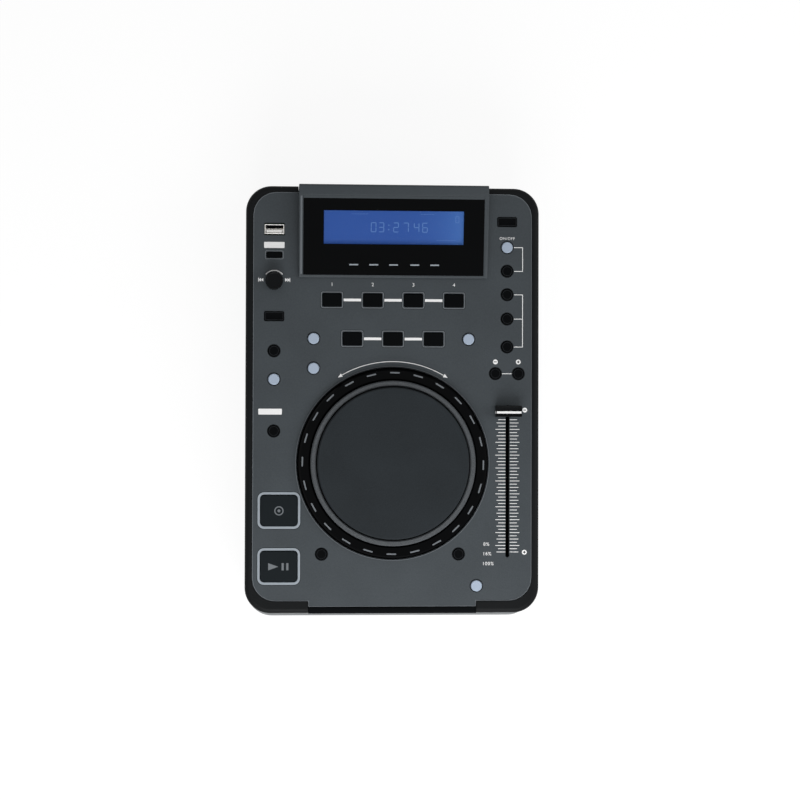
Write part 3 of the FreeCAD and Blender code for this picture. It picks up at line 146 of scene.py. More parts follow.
world = bpy.context.scene.world or bpy.data.worlds.new("sky")
bpy.context.scene.world = world
world.use_nodes = True
sky = world.node_tree.nodes["Background"]
level = world.node_tree.nodes.new("ShaderNodeMix")
level.inputs["A"].default_value = SKY_LEVEL
level.inputs["B"].default_value = 1.0
world.node_tree.links.new(seen_rays(world.node_tree), level.inputs["Factor"])
world.node_tree.links.new(level.outputs["Result"], sky.inputs["Strength"])
sky.inputs["Color"].default_value = (1, 1, 1, 1)
bpy.context.scene.view_settings.view_transform = "Standard"

# %% [markdown]
# A finish is worked out as sums on values. One small class carries a value and turns + - *, powers, absolute
# values and the comparisons into Math nodes. A second class holds the material itself, and any other node
# comes from its one method, which takes the node's settings first and then its sockets.

# %% Shader maths


class Value:
    """A number on its way through a finish."""

    def __init__(self, finish, socket):
        self.finish = finish
        self.socket = socket

    def maths(self, operation, first, second=0.0):
        made = self.finish.node("ShaderNodeMath", {"operation": operation}, {0: first, 1: second})
        return Value(self.finish, made.outputs[0])

    def __add__(self, other):
        return self.maths("ADD", self, other)

    def __sub__(self, other):
        return self.maths("SUBTRACT", self, other)

    def __rsub__(self, other):
        return self.maths("SUBTRACT", other, self)

    def __mul__(self, other):
        return self.maths("MULTIPLY", self, other)

    def __gt__(self, other):
        return self.maths("GREATER_THAN", self, other)

    def __lt__(self, other):
        return self.maths("LESS_THAN", self, other)

    def __abs__(self):
        return self.maths("ABSOLUTE", self)

    def __pow__(self, other):
        return self.maths("POWER", self, other)


class Finish:
    """One material, with its shader and the coordinates that patterns are laid out on."""

    def __init__(self, name):
        self.material = bpy.data.materials.new(name)
        self.material.use_nodes = True
        self.tree = self.material.node_tree
        self.shader = self.tree.nodes["Principled BSDF"]
        self.place = self.node("ShaderNodeTexCoord").outputs["Object"]

    def feed(self, socket, value):
        """Link a value to a socket, or write a plain one in it."""
        if isinstance(value, Value):
            value = value.socket
        if isinstance(value, bpy.types.NodeSocket):
            self.tree.links.new(value, socket)
        elif socket.type == "RGBA" and len(value) == 3:
            socket.default_value = (*value, 1.0)
        else:
            socket.default_value = value

    def node(self, kind, settings=None, sockets=None):
        """Add any node: its settings first, then what its sockets hold."""
        made = self.tree.nodes.new(kind)
        for name, value in (settings or {}).items():
            setattr(made, name, value)
        for name, value in (sockets or {}).items():
            self.feed(made.inputs[name], value)
        return made

    def noise(self, scale, detail=2.0, stretch=None):
        """Cloudy pattern around zero, from -0.5 to 0.5, so many times a metre."""
        place = self.place
        if stretch:
            place = self.node("ShaderNodeMapping", None, {"Vector": place, "Scale": stretch}).outputs[0]
        sockets = {"Vector": place, "Scale": scale, "Detail": detail}
        made = self.node("ShaderNodeTexNoise", {"noise_dimensions": "3D"}, sockets)
        return Value(self, made.outputs[0]) - 0.5

    def axes(self):
        """The three coordinates of the object, in metres."""
        split = self.node("ShaderNodeSeparateXYZ", None, {0: self.place})
        return [Value(self, output) for output in split.outputs]

    def mix(self, share, first, second):
        """Blend two colours."""
        made = self.node("ShaderNodeMix", {"data_type": "RGBA"}, {0: share, 6: first, 7: second})
        return made.outputs[2]

    def bump(self, height, depth):
        """Feed a height to the shader's normal, so many metres deep."""
        made = self.node("ShaderNodeBump", None, {"Height": height, "Distance": depth})
        self.feed(self.shader.inputs["Normal"], made.outputs[0])

    def set(self, **sockets):
        """Write sockets of the shader by their names, with _ for a space."""
        for name, value in sockets.items():
            words = name.replace("_", " ")
            self.feed(self.shader.inputs[words], value)


def shade(colour, level):
    """A colour made darker or lighter by a plain factor."""
    return tuple(part * level for part in colour)


# %% [markdown]
# Most of the case is paint or moulded plastic. Both are a base colour that drifts a little over the part,
# a roughness that drifts with it, and a fine grain that only the light shows. One function makes that kind,
# and the numbers say how coarse the grain of each is.

# %% Paint and moulded plastic


def grained(name, colour, roughness, grain, depth, drift=0.08, specular=0.5, blotch=25.0):
    """A matt or satin finish with drifting colour and a fine grain."""
    finish = Finish(name)
    wide = finish.noise(blotch, 3.0)
    fine = finish.noise(grain, 2.0)
    share = wide * 0.7 + fine * 0.6 + 0.5
    blend = finish.mix(share, shade(colour, 1 - drift), shade(colour, 1 + drift))
    finish.set(Base_Color=blend, Roughness=wide * 0.08 + fine * 0.1 + roughness)
    finish.shader.inputs["Specular IOR Level"].default_value = specular
    finish.bump(fine, depth)
    return finish


FINISHES = {
    "deck_metal": grained("deck_paint", (0.049, 0.058, 0.065), 0.42, 850, 0.00010, 0.24, 0.2),
    "bumper_plastic": grained("bumper_moulding", (0.0045, 0.0052, 0.0058), 0.46, 1500, 0.00008, 0.12, 0.08),
    "pan_metal": grained("pan_paint", (0.30, 0.31, 0.32), 0.45, 1800, 0.00004, 0.05, 0.2),
    "panel_metal": grained("panel_paint", (0.009, 0.0095, 0.010), 0.50, 2400, 0.00006, 0.12, 0.1),
    "rubber": grained("foot_rubber", (0.012, 0.012, 0.012), 0.78, 900, 0.00010, 0.18, 0.1),
    "fader_casing": grained("fader_moulding", (0.001, 0.001, 0.0012), 0.60, 1600, 0.00005, 0.1, 0.02),
    "socket_plastic": grained("socket_moulding", (0.006, 0.006, 0.0065), 0.42, 1300, 0.00005, 0.1, 0.1),
    "knob_black": grained("knob_moulding", (0.003, 0.0036, 0.0042), 0.34, 1700, 0.00004, 0.1, 0.07),
    "key_black": grained("key_moulding", (0.0012, 0.0016, 0.002), 0.40, 2600, 0.00004, 0.1, 0.035),
    "platter_grain": grained("platter_grain", (0.0165, 0.0205, 0.0238), 0.58, 1100, 0.00014, 0.38, 0.12),
    "key_lens": grained("frosted_lens", (0.40, 0.475, 0.585), 0.35, 1200, 0.00002, 0.05, 0.2),
}
bezel = grained("bezel_moulding", (0.0015, 0.002, 0.0026), 0.42, 1500, 0.00006, 0.12, 0.04)
large_key = grained("large_key_moulding", (0.0085, 0.0115, 0.0135), 0.5, 2200, 0.00005, 0.14, 0.06)
print(len(FINISHES), "paints and mouldings")

# %% [markdown]
# The jog wheel has two finishes of its own. Its outer ring is polished black plastic, where the only detail
# is the faint wiping that dulls the gloss here and there. The rim inside it is covered in a coarse sparkle
# that fingers can grip, which a cell pattern gives better than clouds.

# %% Jog wheel finishes


def polished(name, colour, roughness, specular):
    """Polished plastic with a faint wiped dullness."""
    finish = Finish(name)
    wipe = finish.noise(40, 4.0, (1, 2.5, 1))
    share = wipe + 0.5
    blend = finish.mix(share, shade(colour, 0.85), shade(colour, 1.15))
    finish.set(Base_Color=blend, Roughness=wipe * 0.10 + roughness)
    finish.shader.inputs["Specular IOR Level"].default_value = specular
    return finish


def sparkling(name, dark, light, scale, depth):
    """A coarse grain of small bright and dark cells."""
    finish = Finish(name)
    cells = finish.node(
        "ShaderNodeTexVoronoi", {"feature": "F1"}, {"Vector": finish.place, "Scale": scale}
    )
    height = 1.0 - Value(finish, cells.outputs["Distance"])
    fine = finish.noise(scale * 1.7, 2.0)
    finish.set(Base_Color=finish.mix(height * 0.7 + fine, dark, light), Roughness=fine * 0.2 + 0.48)
    finish.shader.inputs["Specular IOR Level"].default_value = 0.2
    finish.bump(height, depth)
    return finish


FINISHES["jog_gloss"] = polished("jog_gloss", (0.001, 0.0012, 0.0015), 0.16, 0.04)
FINISHES["jog_grain"] = sparkling("jog_sparkle", (0.045, 0.050, 0.055), (0.125, 0.135, 0.145), 1500, 0.00018)

# %% [markdown]
# The metal inside and at the sockets is brushed: clouds stretched a long way in one direction. Turned parts
# are brushed in circles instead, so their pattern is read from the distance to the wheel's own centre.

# %% Metals


def brushed(name, colour, roughness, stretch):
    """Metal brushed along one direction."""
    finish = Finish(name)
    lines = finish.noise(600, 2.0, stretch)
    blend = finish.mix(lines + 0.5, shade(colour, 0.82), shade(colour, 1.1))
    finish.set(Base_Color=blend, Roughness=lines * 0.18 + roughness, Metallic=1.0)
    finish.bump(lines, 0.00002)
    return finish


def turned(name, colour, roughness, centre):
    """Metal turned on a lathe, with rings about a centre."""
    finish = Finish(name)
    across, along, height = finish.axes()
    radius = (across**2.0 + (along - centre) ** 2.0) ** 0.5
    spread = finish.node("ShaderNodeCombineXYZ", None, {0: radius, 1: height})
    sockets = {"Vector": spread.outputs[0], "Scale": 2500.0, "Detail": 2.0}
    rings = Value(finish, finish.node("ShaderNodeTexNoise", None, sockets).outputs[0]) - 0.5
    blend = finish.mix(rings + 0.5, shade(colour, 0.8), shade(colour, 1.1))
    finish.set(Base_Color=blend, Roughness=rings * 0.2 + roughness, Metallic=1.0)
    return finish


FINISHES["steel"] = brushed("plated_steel", (0.56, 0.57, 0.58), 0.34, (1, 30, 1))
FINISHES["bearing"] = turned("turned_aluminium", (0.60, 0.60, 0.61), 0.30, JOG * MM)
nickel = brushed("nickel", (0.62, 0.60, 0.56), 0.22, (1, 1, 25))
bright_tin = brushed("bright_tin", (0.82, 0.81, 0.79), 0.28, (1, 1, 20))
gold = brushed("gilt_contact", (0.80, 0.58, 0.22), 0.28, (1, 25, 1))

# %% [markdown]
# A circuit board is green lacquer over copper. The lacquer shows the copper as slightly paler straight
# patches, so a blocky cell pattern stands for the tracks.

# %% Circuit boards
board = Finish("board_lacquer")
tracks = board.node(
    "ShaderNodeTexVoronoi", {"distance": "CHEBYCHEV"}, {"Vector": board.place, "Scale": 220.0}
)
copper = Value(board, tracks.outputs["Distance"]) > 0.32
grain = board.noise(900)
board.set(
    Base_Color=board.mix(copper * 0.8, (0.012, 0.075, 0.032), (0.035, 0.15, 0.055)),
    Roughness=grain * 0.1 + 0.35,
)
board.bump(copper, 0.00003)
FINISHES["board"] = board

# %% [markdown]
# The window is smoked plastic, clear only over the screen, so its alpha is low inside one rectangle and full
# outside it. The screen under it lights itself. It is a little paler towards its right edge, and its rows of
# dots show as a faint weave.

# %% Window and screen
CLEAR_HALF = 51.7
CLEAR_FRONT = 113.7
CLEAR_REAR = 137.9
CLEARNESS = 0.86
SCREEN_HALF = 52.0

window = polished("smoked_window", (0.0012, 0.0015, 0.0018), 0.07, 0.04)
across, along, _ = window.axes()
clear = (abs(across) < CLEAR_HALF * MM) * (along > CLEAR_FRONT * MM) * (along < CLEAR_REAR * MM)
window.set(Alpha=1.0 - clear * CLEARNESS)
FINISHES["window"] = window

screen = Finish("lit_screen")
across, _, _ = screen.axes()
dots = screen.noise(1400, 1.0)
edge = (across * 1000.0 + SCREEN_HALF) * 0.0095
tone = screen.mix(edge**6.0 * 0.8 + dots * 0.15, (0.018, 0.078, 0.34), (0.06, 0.18, 0.52))
screen.set(Base_Color=tone, Emission_Color=tone, Emission_Strength=0.5, Roughness=dots * 0.1 + 0.4)
FINISHES["screen"] = screen

# %% [markdown]
# Printed lines are ink, a thin matt layer. White ink is used for the symbols and scales, a greyer one for the
# outlines round the keys, and a red and a white insulator mark the two sound channels. A pale grey layer is
# no print but a painted highlight along edges that catch the light. The black layer is print in the plus and
# minus signs, and painted shadow in the lines round holes and gaps.

# %% Inks and coloured plastic
white_ink = grained("white_ink", (0.95, 0.95, 0.95), 0.62, 3000, 0.00001, 0.03, 0.1)
pale_ink = grained("pale_ink", (0.33, 0.37, 0.41), 0.6, 3000, 0.00001, 0.05, 0.1)
grey_ink = grained("grey_ink", (0.17, 0.185, 0.20), 0.6, 3000, 0.00001, 0.05, 0.1)
# Painted highlight: a pale grey for edges and rims that catch the light.
painted_highlight = grained("painted_highlight", (0.15, 0.165, 0.18), 0.6, 3000, 0.00001, 0.05, 0.1)
black_ink_and_painted_shade = grained("black_ink_and_painted_shade", (0.006, 0.007, 0.008), 0.6, 3000, 0.00001, 0.1, 0.05)
glowing = grained("glowing_segment", (0.10, 0.22, 0.52), 0.5, 2000, 0.00001, 0.04, 0.1)
glowing.set(Emission_Color=(0.14, 0.26, 0.56), Emission_Strength=0.5)
white_plastic = grained("white_plastic", (0.92, 0.92, 0.90), 0.4, 1500, 0.00002, 0.04)
red_plastic = grained("red_plastic", (0.52, 0.02, 0.02), 0.4, 1500, 0.00002, 0.06)

# %% [markdown]
# Every node of the frame takes the finish of its slot in the record. Its shape isn't touched. The two large
# keys are a shade paler than the small ones, and the bearing's cup gets a black finish that paints the shade
# in the gap round the jog wheel, where it shows.

# %% Finishes for the frame


def finish_node(node, finish):
    """Give one node of the frame its finish."""
    part = nodes[node]
    if part.material_slots:
        for place in part.material_slots:
            place.material = finish.material
    else:
        part.data.materials.append(finish.material)


for entry in frame["record"]["subparts"]:
    finish_node(entry["node"], FINISHES[entry["material_slot"]])
for node in ("cue_key", "play_key"):
    finish_node(node, large_key)
# Painted shade: the bearing's cup is black so the gap round the jog wheel looks dark.
finish_node("jog_bearing", FINISHES["fader_casing"])

# %% [markdown]
# The tools for modelling come next. Each starts with nothing selected, because an operator acts on all that
# is selected. Faces are picked by a test on their middle and their normal.

# %% Modelling tools


def deselect():
    """Leave edit mode and select nothing."""
    if bpy.context.object and bpy.context.object.mode != "OBJECT":
        bpy.ops.object.mode_set(mode="OBJECT")
    bpy.ops.object.select_all(action="DESELECT")


def take(piece):
    """Make a piece the only one selected."""
    deselect()
    bpy.context.view_layer.objects.active = piece
    piece.select_set(True)


def edit(piece):
    """Enter edit mode with every part of the piece selected."""
    take(piece)
    bpy.ops.object.mode_set(mode="EDIT")
    bpy.ops.mesh.select_mode(type="FACE")
    bpy.ops.mesh.select_all(action="SELECT")


def pick(piece, wanted):
    """Select the faces whose middle and normal pass a test."""
    mesh = bmesh.from_edit_mesh(piece.data)
    for face in mesh.faces:
        face.select_set(False)
    for face in mesh.faces:
        if wanted(face.calc_center_median(), face.normal):
            face.select_set(True)
    bmesh.update_edit_mesh(piece.data)


def leave():
    """Go back from edit mode."""
    bpy.ops.object.mode_set(mode="OBJECT")


def fix(piece, matrix=None):
    """Write the piece's place, turn and size into its mesh, after one more move."""
    take(piece)
    if matrix is not None:
        piece.matrix_world = matrix @ piece.matrix_world
    bpy.ops.object.transform_apply(location=True, rotation=True, scale=True)
    return piece


def modify(piece, kind, **settings):
    """Add one modifier, set it up and apply it."""
    take(piece)
    made = piece.modifiers.new(kind.lower(), kind)
    for name, value in settings.items():
        setattr(made, name, value)
    bpy.ops.object.modifier_apply(modifier=made.name)


def thicken(piece, depth):
    """Give a flat piece its thickness, on its upper side."""
    modify(piece, "SOLIDIFY", thickness=depth * MM, offset=1.0)


def round_edges(piece, width, steps=2, angle=35):
    """Round the sharp edges of a piece, and shade it smooth between them."""
    limit = math.radians(angle)
    modify(piece, "BEVEL", width=width * MM, segments=steps, limit_method="ANGLE", angle_limit=limit)
    bpy.ops.object.shade_smooth_by_angle(angle=math.radians(30))
    return piece


def join(pieces):
    """Make one object of several."""
    deselect()
    for piece in pieces:
        piece.select_set(True)
    bpy.context.view_layer.objects.active = pieces[0]
    if len(pieces) > 1:
        bpy.ops.object.join()
    return fix(bpy.context.view_layer.objects.active)


def hand_over(piece, name, body, finish, replaced=()):
    """Name a finished piece, give it its finish, and let it ride on its body."""
    piece.name = name
    piece.data.name = name
    piece.data.materials.clear()
    piece.data.materials.append(finish.material)
    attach(piece, body)
    if replaced:
        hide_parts(*replaced)
    print(name, len(piece.data.polygons), "faces")


# %% [markdown]
# Ink is modelled flat and then given a few hundredths of a millimetre. A bar, a frame, a ring, a triangle
# and a character are all that the deck's printing needs. The frame is a plane whose corners are bevelled,
# inset by the width of its line, and opened in the middle. The ring is a circle extruded inwards. A hair of
# air keeps the ink off the face under it.

# %% Flat shapes
INK_GAP = 0.004
CAP_HEIGHT = 0.7
LETTER_SPACE = 1.15


def flat_bar(u, v, width, depth, corner=0.0):
    """A flat bar with its middle at a place, with round corners where asked."""
    deselect()
    bpy.ops.mesh.primitive_plane_add(size=1)
    piece = bpy.context.object
    piece.scale = (width * MM, depth * MM, 1)
    bpy.ops.object.transform_apply(location=False, rotation=False, scale=True)
    if corner:
        edit(piece)
        bpy.ops.mesh.bevel(offset=corner * MM, affect="VERTICES", segments=5)
        leave()
    return fix(piece, Matrix.Translation((u * MM, v * MM, 0)))


def flat_frame(u, v, width, depth, corner, line):
    """A line that runs round a box with round corners."""
    piece = flat_bar(u, v, width, depth, corner)
    edit(piece)
    bpy.ops.mesh.inset(thickness=line * MM)
    bpy.ops.mesh.delete(type="FACE")
    leave()
    return piece


def flat_ring(u, v, inner, outer, start=0.0, sweep=360.0, steps=120):
    """A ring, or the part of it that runs from one angle round to another."""
    deselect()
    bpy.ops.mesh.primitive_circle_add(vertices=steps, radius=outer * MM, fill_type="NOTHING")
    piece = bpy.context.object
    edit(piece)
    bpy.ops.mesh.select_mode(type="EDGE")
    bpy.ops.mesh.select_all(action="SELECT")
    bpy.ops.mesh.extrude_edges_move()
    share = inner / outer
    bpy.ops.transform.resize(value=(share, share, 1), center_override=(0, 0, 0))
    bpy.ops.mesh.select_mode(type="FACE")
    if sweep < 360:

        def outside(middle, normal):
            angle = math.degrees(math.atan2(middle.y, middle.x)) - start
            return angle % 360 > sweep

        pick(piece, outside)
        bpy.ops.mesh.delete(type="FACE")
    bpy.ops.mesh.select_all(action="SELECT")
    bpy.ops.mesh.normals_make_consistent(inside=False)
    leave()
    if piece.data.polygons[0].normal.z < 0:
        piece.data.flip_normals()
    return fix(piece, Matrix.Translation((u * MM, v * MM, 0)))


def flat_disc(u, v, radius):
    """A filled circle."""
    deselect()
    bpy.ops.mesh.primitive_circle_add(vertices=40, radius=radius * MM, fill_type="NGON")
    return fix(bpy.context.object, Matrix.Translation((u * MM, v * MM, 0)))


def flat_triangle(u, v, length, width, turned_by):
    """A triangle that points along an angle."""
    deselect()
    bpy.ops.mesh.primitive_circle_add(vertices=3, radius=1, fill_type="NGON")
    piece = bpy.context.object
    point = Matrix.Rotation(math.radians(turned_by - 90), 4, "Z")
    size = Matrix.Diagonal((width / math.sqrt(3) * MM, length / 1.5 * MM, 1, 1))
    return fix(piece, Matrix.Translation((u * MM, v * MM, 0)) @ point @ size)


def flat_text(words, u, v, height):
    """A few printed characters, centred on a place."""
    deselect()
    bpy.ops.object.text_add()
    piece = bpy.context.object
    piece.data.body = words
    piece.data.size = height * MM / CAP_HEIGHT
    piece.data.space_character = LETTER_SPACE
    piece.data.align_x = "CENTER"
    piece.data.align_y = "CENTER"
    bpy.ops.object.convert(target="MESH")
    return fix(bpy.context.object, Matrix.Translation((u * MM, v * MM, 0)))


def stamp(model, places):
    """Copy a shape to several places and turns, and remove the first."""
    copies = []
    for u, v, turned_by in places:
        copy = model.copy()
        copy.data = model.data.copy()
        bpy.context.collection.objects.link(copy)
        spin = Matrix.Rotation(math.radians(turned_by), 4, "Z")
        copy.matrix_world = Matrix.Translation((u * MM, v * MM, 0)) @ spin
        copies.append(copy)
    bpy.data.objects.remove(model)
    return join(copies)


def inked(name, shapes, body, finish, matrix=DECK, lift=0.0, depth=0.04):
    """Join flat shapes into one print, thicken it and lay it in place."""
    piece = join(shapes)
    thicken(piece, depth)
    fix(piece, matrix @ Matrix.Translation((0, 0, (lift + INK_GAP) * MM)))
    hand_over(piece, name, body, finish)


# %% [markdown]
# A thin pale line runs round the top plate, a painted highlight where its edge is bevelled and catches the
# light. It follows the plate's round corners and then the tongue at the front, so the frame loses its front
# side there and bars take over.

# %% Painted highlight on the edge of the top plate
PLATE_SIDE = 103.5
PLATE_REAR = 153.2
PLATE_FRONT = 148.9
PLATE_CORNER = 17.0
TONGUE_HALF = 62.0
TONGUE_FRONT = 153.0
EDGE = 0.5

middle = (PLATE_REAR - PLATE_FRONT) / 2
edge_highlight = flat_frame(0, middle, PLATE_SIDE * 2, PLATE_REAR + PLATE_FRONT, PLATE_CORNER, EDGE)
edit(edge_highlight)
pick(edge_highlight, lambda centre, normal: centre.y < (EDGE - PLATE_FRONT) * MM and abs(centre.x) < 0.05)
bpy.ops.mesh.delete(type="FACE")
leave()
shapes = [edge_highlight]
corner_end = PLATE_SIDE - PLATE_CORNER
for side in (-1, 1):
    bar_middle = side * (corner_end + TONGUE_HALF) / 2
    shapes.append(flat_bar(bar_middle, EDGE / 2 - PLATE_FRONT, corner_end - TONGUE_HALF, EDGE))
    step = TONGUE_FRONT - PLATE_FRONT + EDGE
    shapes.append(flat_bar(side * (TONGUE_HALF - EDGE / 2), step / 2 - TONGUE_FRONT, EDGE, step))
shapes.append(flat_bar(0, EDGE / 2 - TONGUE_FRONT, (TONGUE_HALF - EDGE) * 2, EDGE))
inked("plate_edge_highlight", shapes, "case", painted_highlight)

# %% [markdown]
# Pale lines frame the keys: thin ones round the seven memory and loop keys and the small source key, and
# broad ones round the two large keys at the front left. White bars join the keys of a row, and two more
# stand over the source key and the jog mode key.

# %% Outlines and bars between keys
MEMORY_ROW = 73.7
LOOP_ROW = 45.0
PITCH = 30.2
SMALL_KEY = (16.5, 12.3)
LARGE_KEY = (31.5, 27.0)
LARGE_COLUMN = -83.9
LARGE_ROWS = (-82.1, -123.3)
KEY_SPAN = 17.3
BAR_LENGTH = PITCH - KEY_SPAN

memory_keys = [(PITCH * (place - 1.5), MEMORY_ROW) for place in range(4)]
loop_keys = [(PITCH * (place - 1), LOOP_ROW) for place in range(3)]
shapes = [flat_frame(u, v, *SMALL_KEY, 1.6, 0.6) for u, v in memory_keys + loop_keys]
shapes.append(flat_frame(LEFT, 106.7, 13.6, 6.4, 1.2, 0.5))
inked("key_outlines", shapes, "case", grey_ink)

shapes = [flat_frame(LARGE_COLUMN, v, *LARGE_KEY, 4.8, 1.7) for v in LARGE_ROWS]
inked("large_key_outlines", shapes, "case", pale_ink)

joins = [(PITCH * (place - 1), MEMORY_ROW) for place in range(3)]
joins += [(PITCH * (place - 0.5), LOOP_ROW) for place in range(2)]
bars = [flat_bar(u, v, BAR_LENGTH, 1.95) for u, v in joins]
bars.append(flat_bar(LEFT, 114.0, 15.1, 4.5, 0.5))
bars.append(flat_bar(-90.7, -9.2, 17.3, 4.3, 0.5))
inked("white_bars", bars, "case", white_ink)

# %% [markdown]
# Lines at the right tie keys that work together. A bracket is three or four bars. The small circles with a
# plus and a minus stand by the bend keys and at the ends of the fader.

# %% Brackets and signs
LINE = 0.5
BRACKET_COLUMN = 96.6
KEY_EDGE = RIGHT + 5.2
SIGN_RADIUS = 1.8
SIGN_LENGTH = 2.0
SIGN_LINE = 0.6


def bracket(rows):
    """An upright line with a branch to each of several keys."""
    reach = BRACKET_COLUMN - KEY_EDGE
    made = [flat_bar(KEY_EDGE + reach / 2, row, reach, LINE) for row in rows]
    upright = (max(rows) + min(rows)) / 2
    made.append(flat_bar(BRACKET_COLUMN, upright, LINE, max(rows) - min(rows) + LINE))
    return made


SIGNS = (
    (76.35, 28.4, False),
    (93.45, 28.4, True),
    (98.4, -7.4, False),
    (98.2, -113.0, True),
)
shapes = bracket([113.6, 95.9]) + bracket([78.4, 60.3, 39.5])
shapes.append(flat_bar(84.9, 19.6, 7.2, LINE))
shapes += [flat_disc(u, v, SIGN_RADIUS) for u, v, plus in SIGNS]
inked("brackets_and_discs", shapes, "case", white_ink)

shapes = []
for u, v, plus in SIGNS:
    shapes.append(flat_bar(u, v, SIGN_LENGTH, SIGN_LINE))
    if plus:
        shapes.append(flat_bar(u, v, SIGN_LINE, SIGN_LENGTH))
inked("plus_and_minus", shapes, "case", black_ink_and_painted_shade, lift=0.05)

# %% [markdown]
# Each key sits in a hole with a shadow line round it. Thin black rings and frames paint that shadow where the
# gap itself is too fine to show. They do the same round the fader's slot and round the jog wheel's hole,
# where a paler ring just outside paints the highlight on the hole's pressed lip. The dark round keys and the
# two oblong ones have a paler lip near their edge, and it goes down with the key.

# %% Shadow lines round the keys
ROUND_STEPS = 48
JOG_STEPS = 240
KEY_TOP = 0.7
KEY_SHADOW = (4.45, 4.9)
KEY_LIP = (3.25, 3.5)
SMALL_HOLE = (17.2, 13.0)
LARGE_HOLE = (32.3, 27.8)
JOG_SHADOW = (71.1, 71.5)
JOG_HOLE_HIGHLIGHT = (71.6, 72.0)
SLOT_MIDDLE = -60.4
SLOT_SIZE = (3.0, 113.0)
DARK_KEYS = (
    "program",
    "jog_mode",
    "tap",
    "range",
    "select",
    "title",
    "time",
    "single",
    "bend_minus",
    "bend_plus",
)
LENS_KEYS = ("relay", "tempo", "record", "brake", "reverse", "fx")


def deck_place(node):
    """Where a key stands on the deck."""
    low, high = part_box(node)
    centre = DECK.inverted() @ ((low + high) / 2)
    return centre.x / MM, centre.y / MM


shapes = []
for name in DARK_KEYS + LENS_KEYS:
    shapes.append(flat_ring(*deck_place(name + "_key"), *KEY_SHADOW, steps=ROUND_STEPS))
shapes += [flat_frame(u, v, *SMALL_HOLE, 1.9, 0.32) for u, v in memory_keys + loop_keys]
shapes += [flat_frame(LARGE_COLUMN, v, *LARGE_HOLE, 5.1, 0.38) for v in LARGE_ROWS]
shapes.append(flat_ring(0, JOG, *JOG_SHADOW, steps=JOG_STEPS))
shapes.append(flat_frame(FADER, SLOT_MIDDLE, *SLOT_SIZE, 1.45, 0.3))
inked("shadow_lines", shapes, "case", black_ink_and_painted_shade)
# Painted highlight: a pale ring on the lip of the jog wheel's hole.
hole_highlight = flat_ring(0, JOG, *JOG_HOLE_HIGHLIGHT, steps=JOG_STEPS)
inked("jog_hole_highlight", [hole_highlight], "case", painted_highlight)

lip_ink = grained("key_lip", (0.016, 0.018, 0.021), 0.4, 3000, 0.00001, 0.05, 0.1)
for name in DARK_KEYS:
    ring = flat_ring(*deck_place(name + "_key"), *KEY_LIP, steps=ROUND_STEPS)
    inked(name + "_lip", [ring], name + "_key", lip_ink, lift=KEY_TOP)
for name in ("folder", "eject"):
    frame_line = flat_frame(*deck_place(name + "_key"), 13.4, 5.9, 0.5, 0.3)
    inked(name + "_lip", [frame_line], name + "_key", lip_ink, lift=KEY_TOP)

# %% [markdown]
# The encoder has an arc over it and a skip symbol at each side, and a long arc with two arrowheads over the
# jog wheel shows that the wheel turns both ways.

# %% Arcs and arrows
ENCODER = 87.2
ARC_INNER = 7.6
ARC_OUTER = 8.3
ARC_START = 40
ARC_SWEEP = 100
TURN_RADIUS = 75.3
TURN_HALF = 30
TURN_LINE = 0.5

shapes = [flat_ring(LEFT, ENCODER, ARC_INNER, ARC_OUTER, ARC_START, ARC_SWEEP)]
for side in (-1, 1):
    for reach in (8.6, 10.3):
        shapes.append(flat_triangle(LEFT + side * reach, ENCODER + 1, 1.7, 2.9, 90 - side * 90))
    shapes.append(flat_bar(LEFT + side * 11.5, ENCODER + 1, 0.5, 2.9))
inner = TURN_RADIUS - TURN_LINE / 2
outer = TURN_RADIUS + TURN_LINE / 2
shapes.append(flat_ring(0, JOG, inner, outer, 90 - TURN_HALF, TURN_HALF * 2, JOG_STEPS))
for side in (-1, 1):
    angle = math.radians(90 - side * (TURN_HALF + 1))
    u = TURN_RADIUS * math.cos(angle)
    v = JOG + TURN_RADIUS * math.sin(angle)
    shapes.append(flat_triangle(u, v, 3.4, 2.8, math.degrees(angle) - side * 90))
inked("turn_arrows", shapes, "case", white_ink)

# %% [markdown]
# The fader's scale is a row of ticks each side of the slot, in a pattern of long, short, middle and short.
# The three ranges stand beside its front end, the memory keys are numbered, and the effect key has its switch
# words.

# %% Fader scale and numbers
TICKS = 45
TICK_TOP = -7.4
TICK_PITCH = 2.3955
TICK_ENDS = {2: (76.5, 94.4), 0: (77.4, 93.7), 1: (78.6, 92.6), 3: (78.6, 92.6)}
SLOT_ENDS = (84.0, 87.2)

shapes = []
for kind in range(4):
    rows = [TICK_TOP - TICK_PITCH * place for place in range(TICKS) if place % 4 == kind]
    for outer, inner in zip(TICK_ENDS[kind], SLOT_ENDS):
        tick = flat_bar(0, 0, abs(outer - inner), 0.45)
        shapes.append(stamp(tick, [((outer + inner) / 2, row, 0) for row in rows]))
for words, u, v in (("8%", 69.8, -107.1), ("16%", 70.3, -114.2), ("100%", 71.0, -121.5)):
    shapes.append(flat_text(words, u, v, 2.5))
for place in range(4):
    shapes.append(flat_text(str(place + 1), memory_keys[place][0], 85.1, 2.6))
shapes.append(flat_text("ON/OFF", 85.0, 120.2, 2.0))
inked("scale_and_numbers", shapes, "case", white_ink)

# %% [markdown]
# The play key carries a triangle and two bars, and they have to go down with the key, so they ride on it.
# The cue key has a plain ring with a dot.

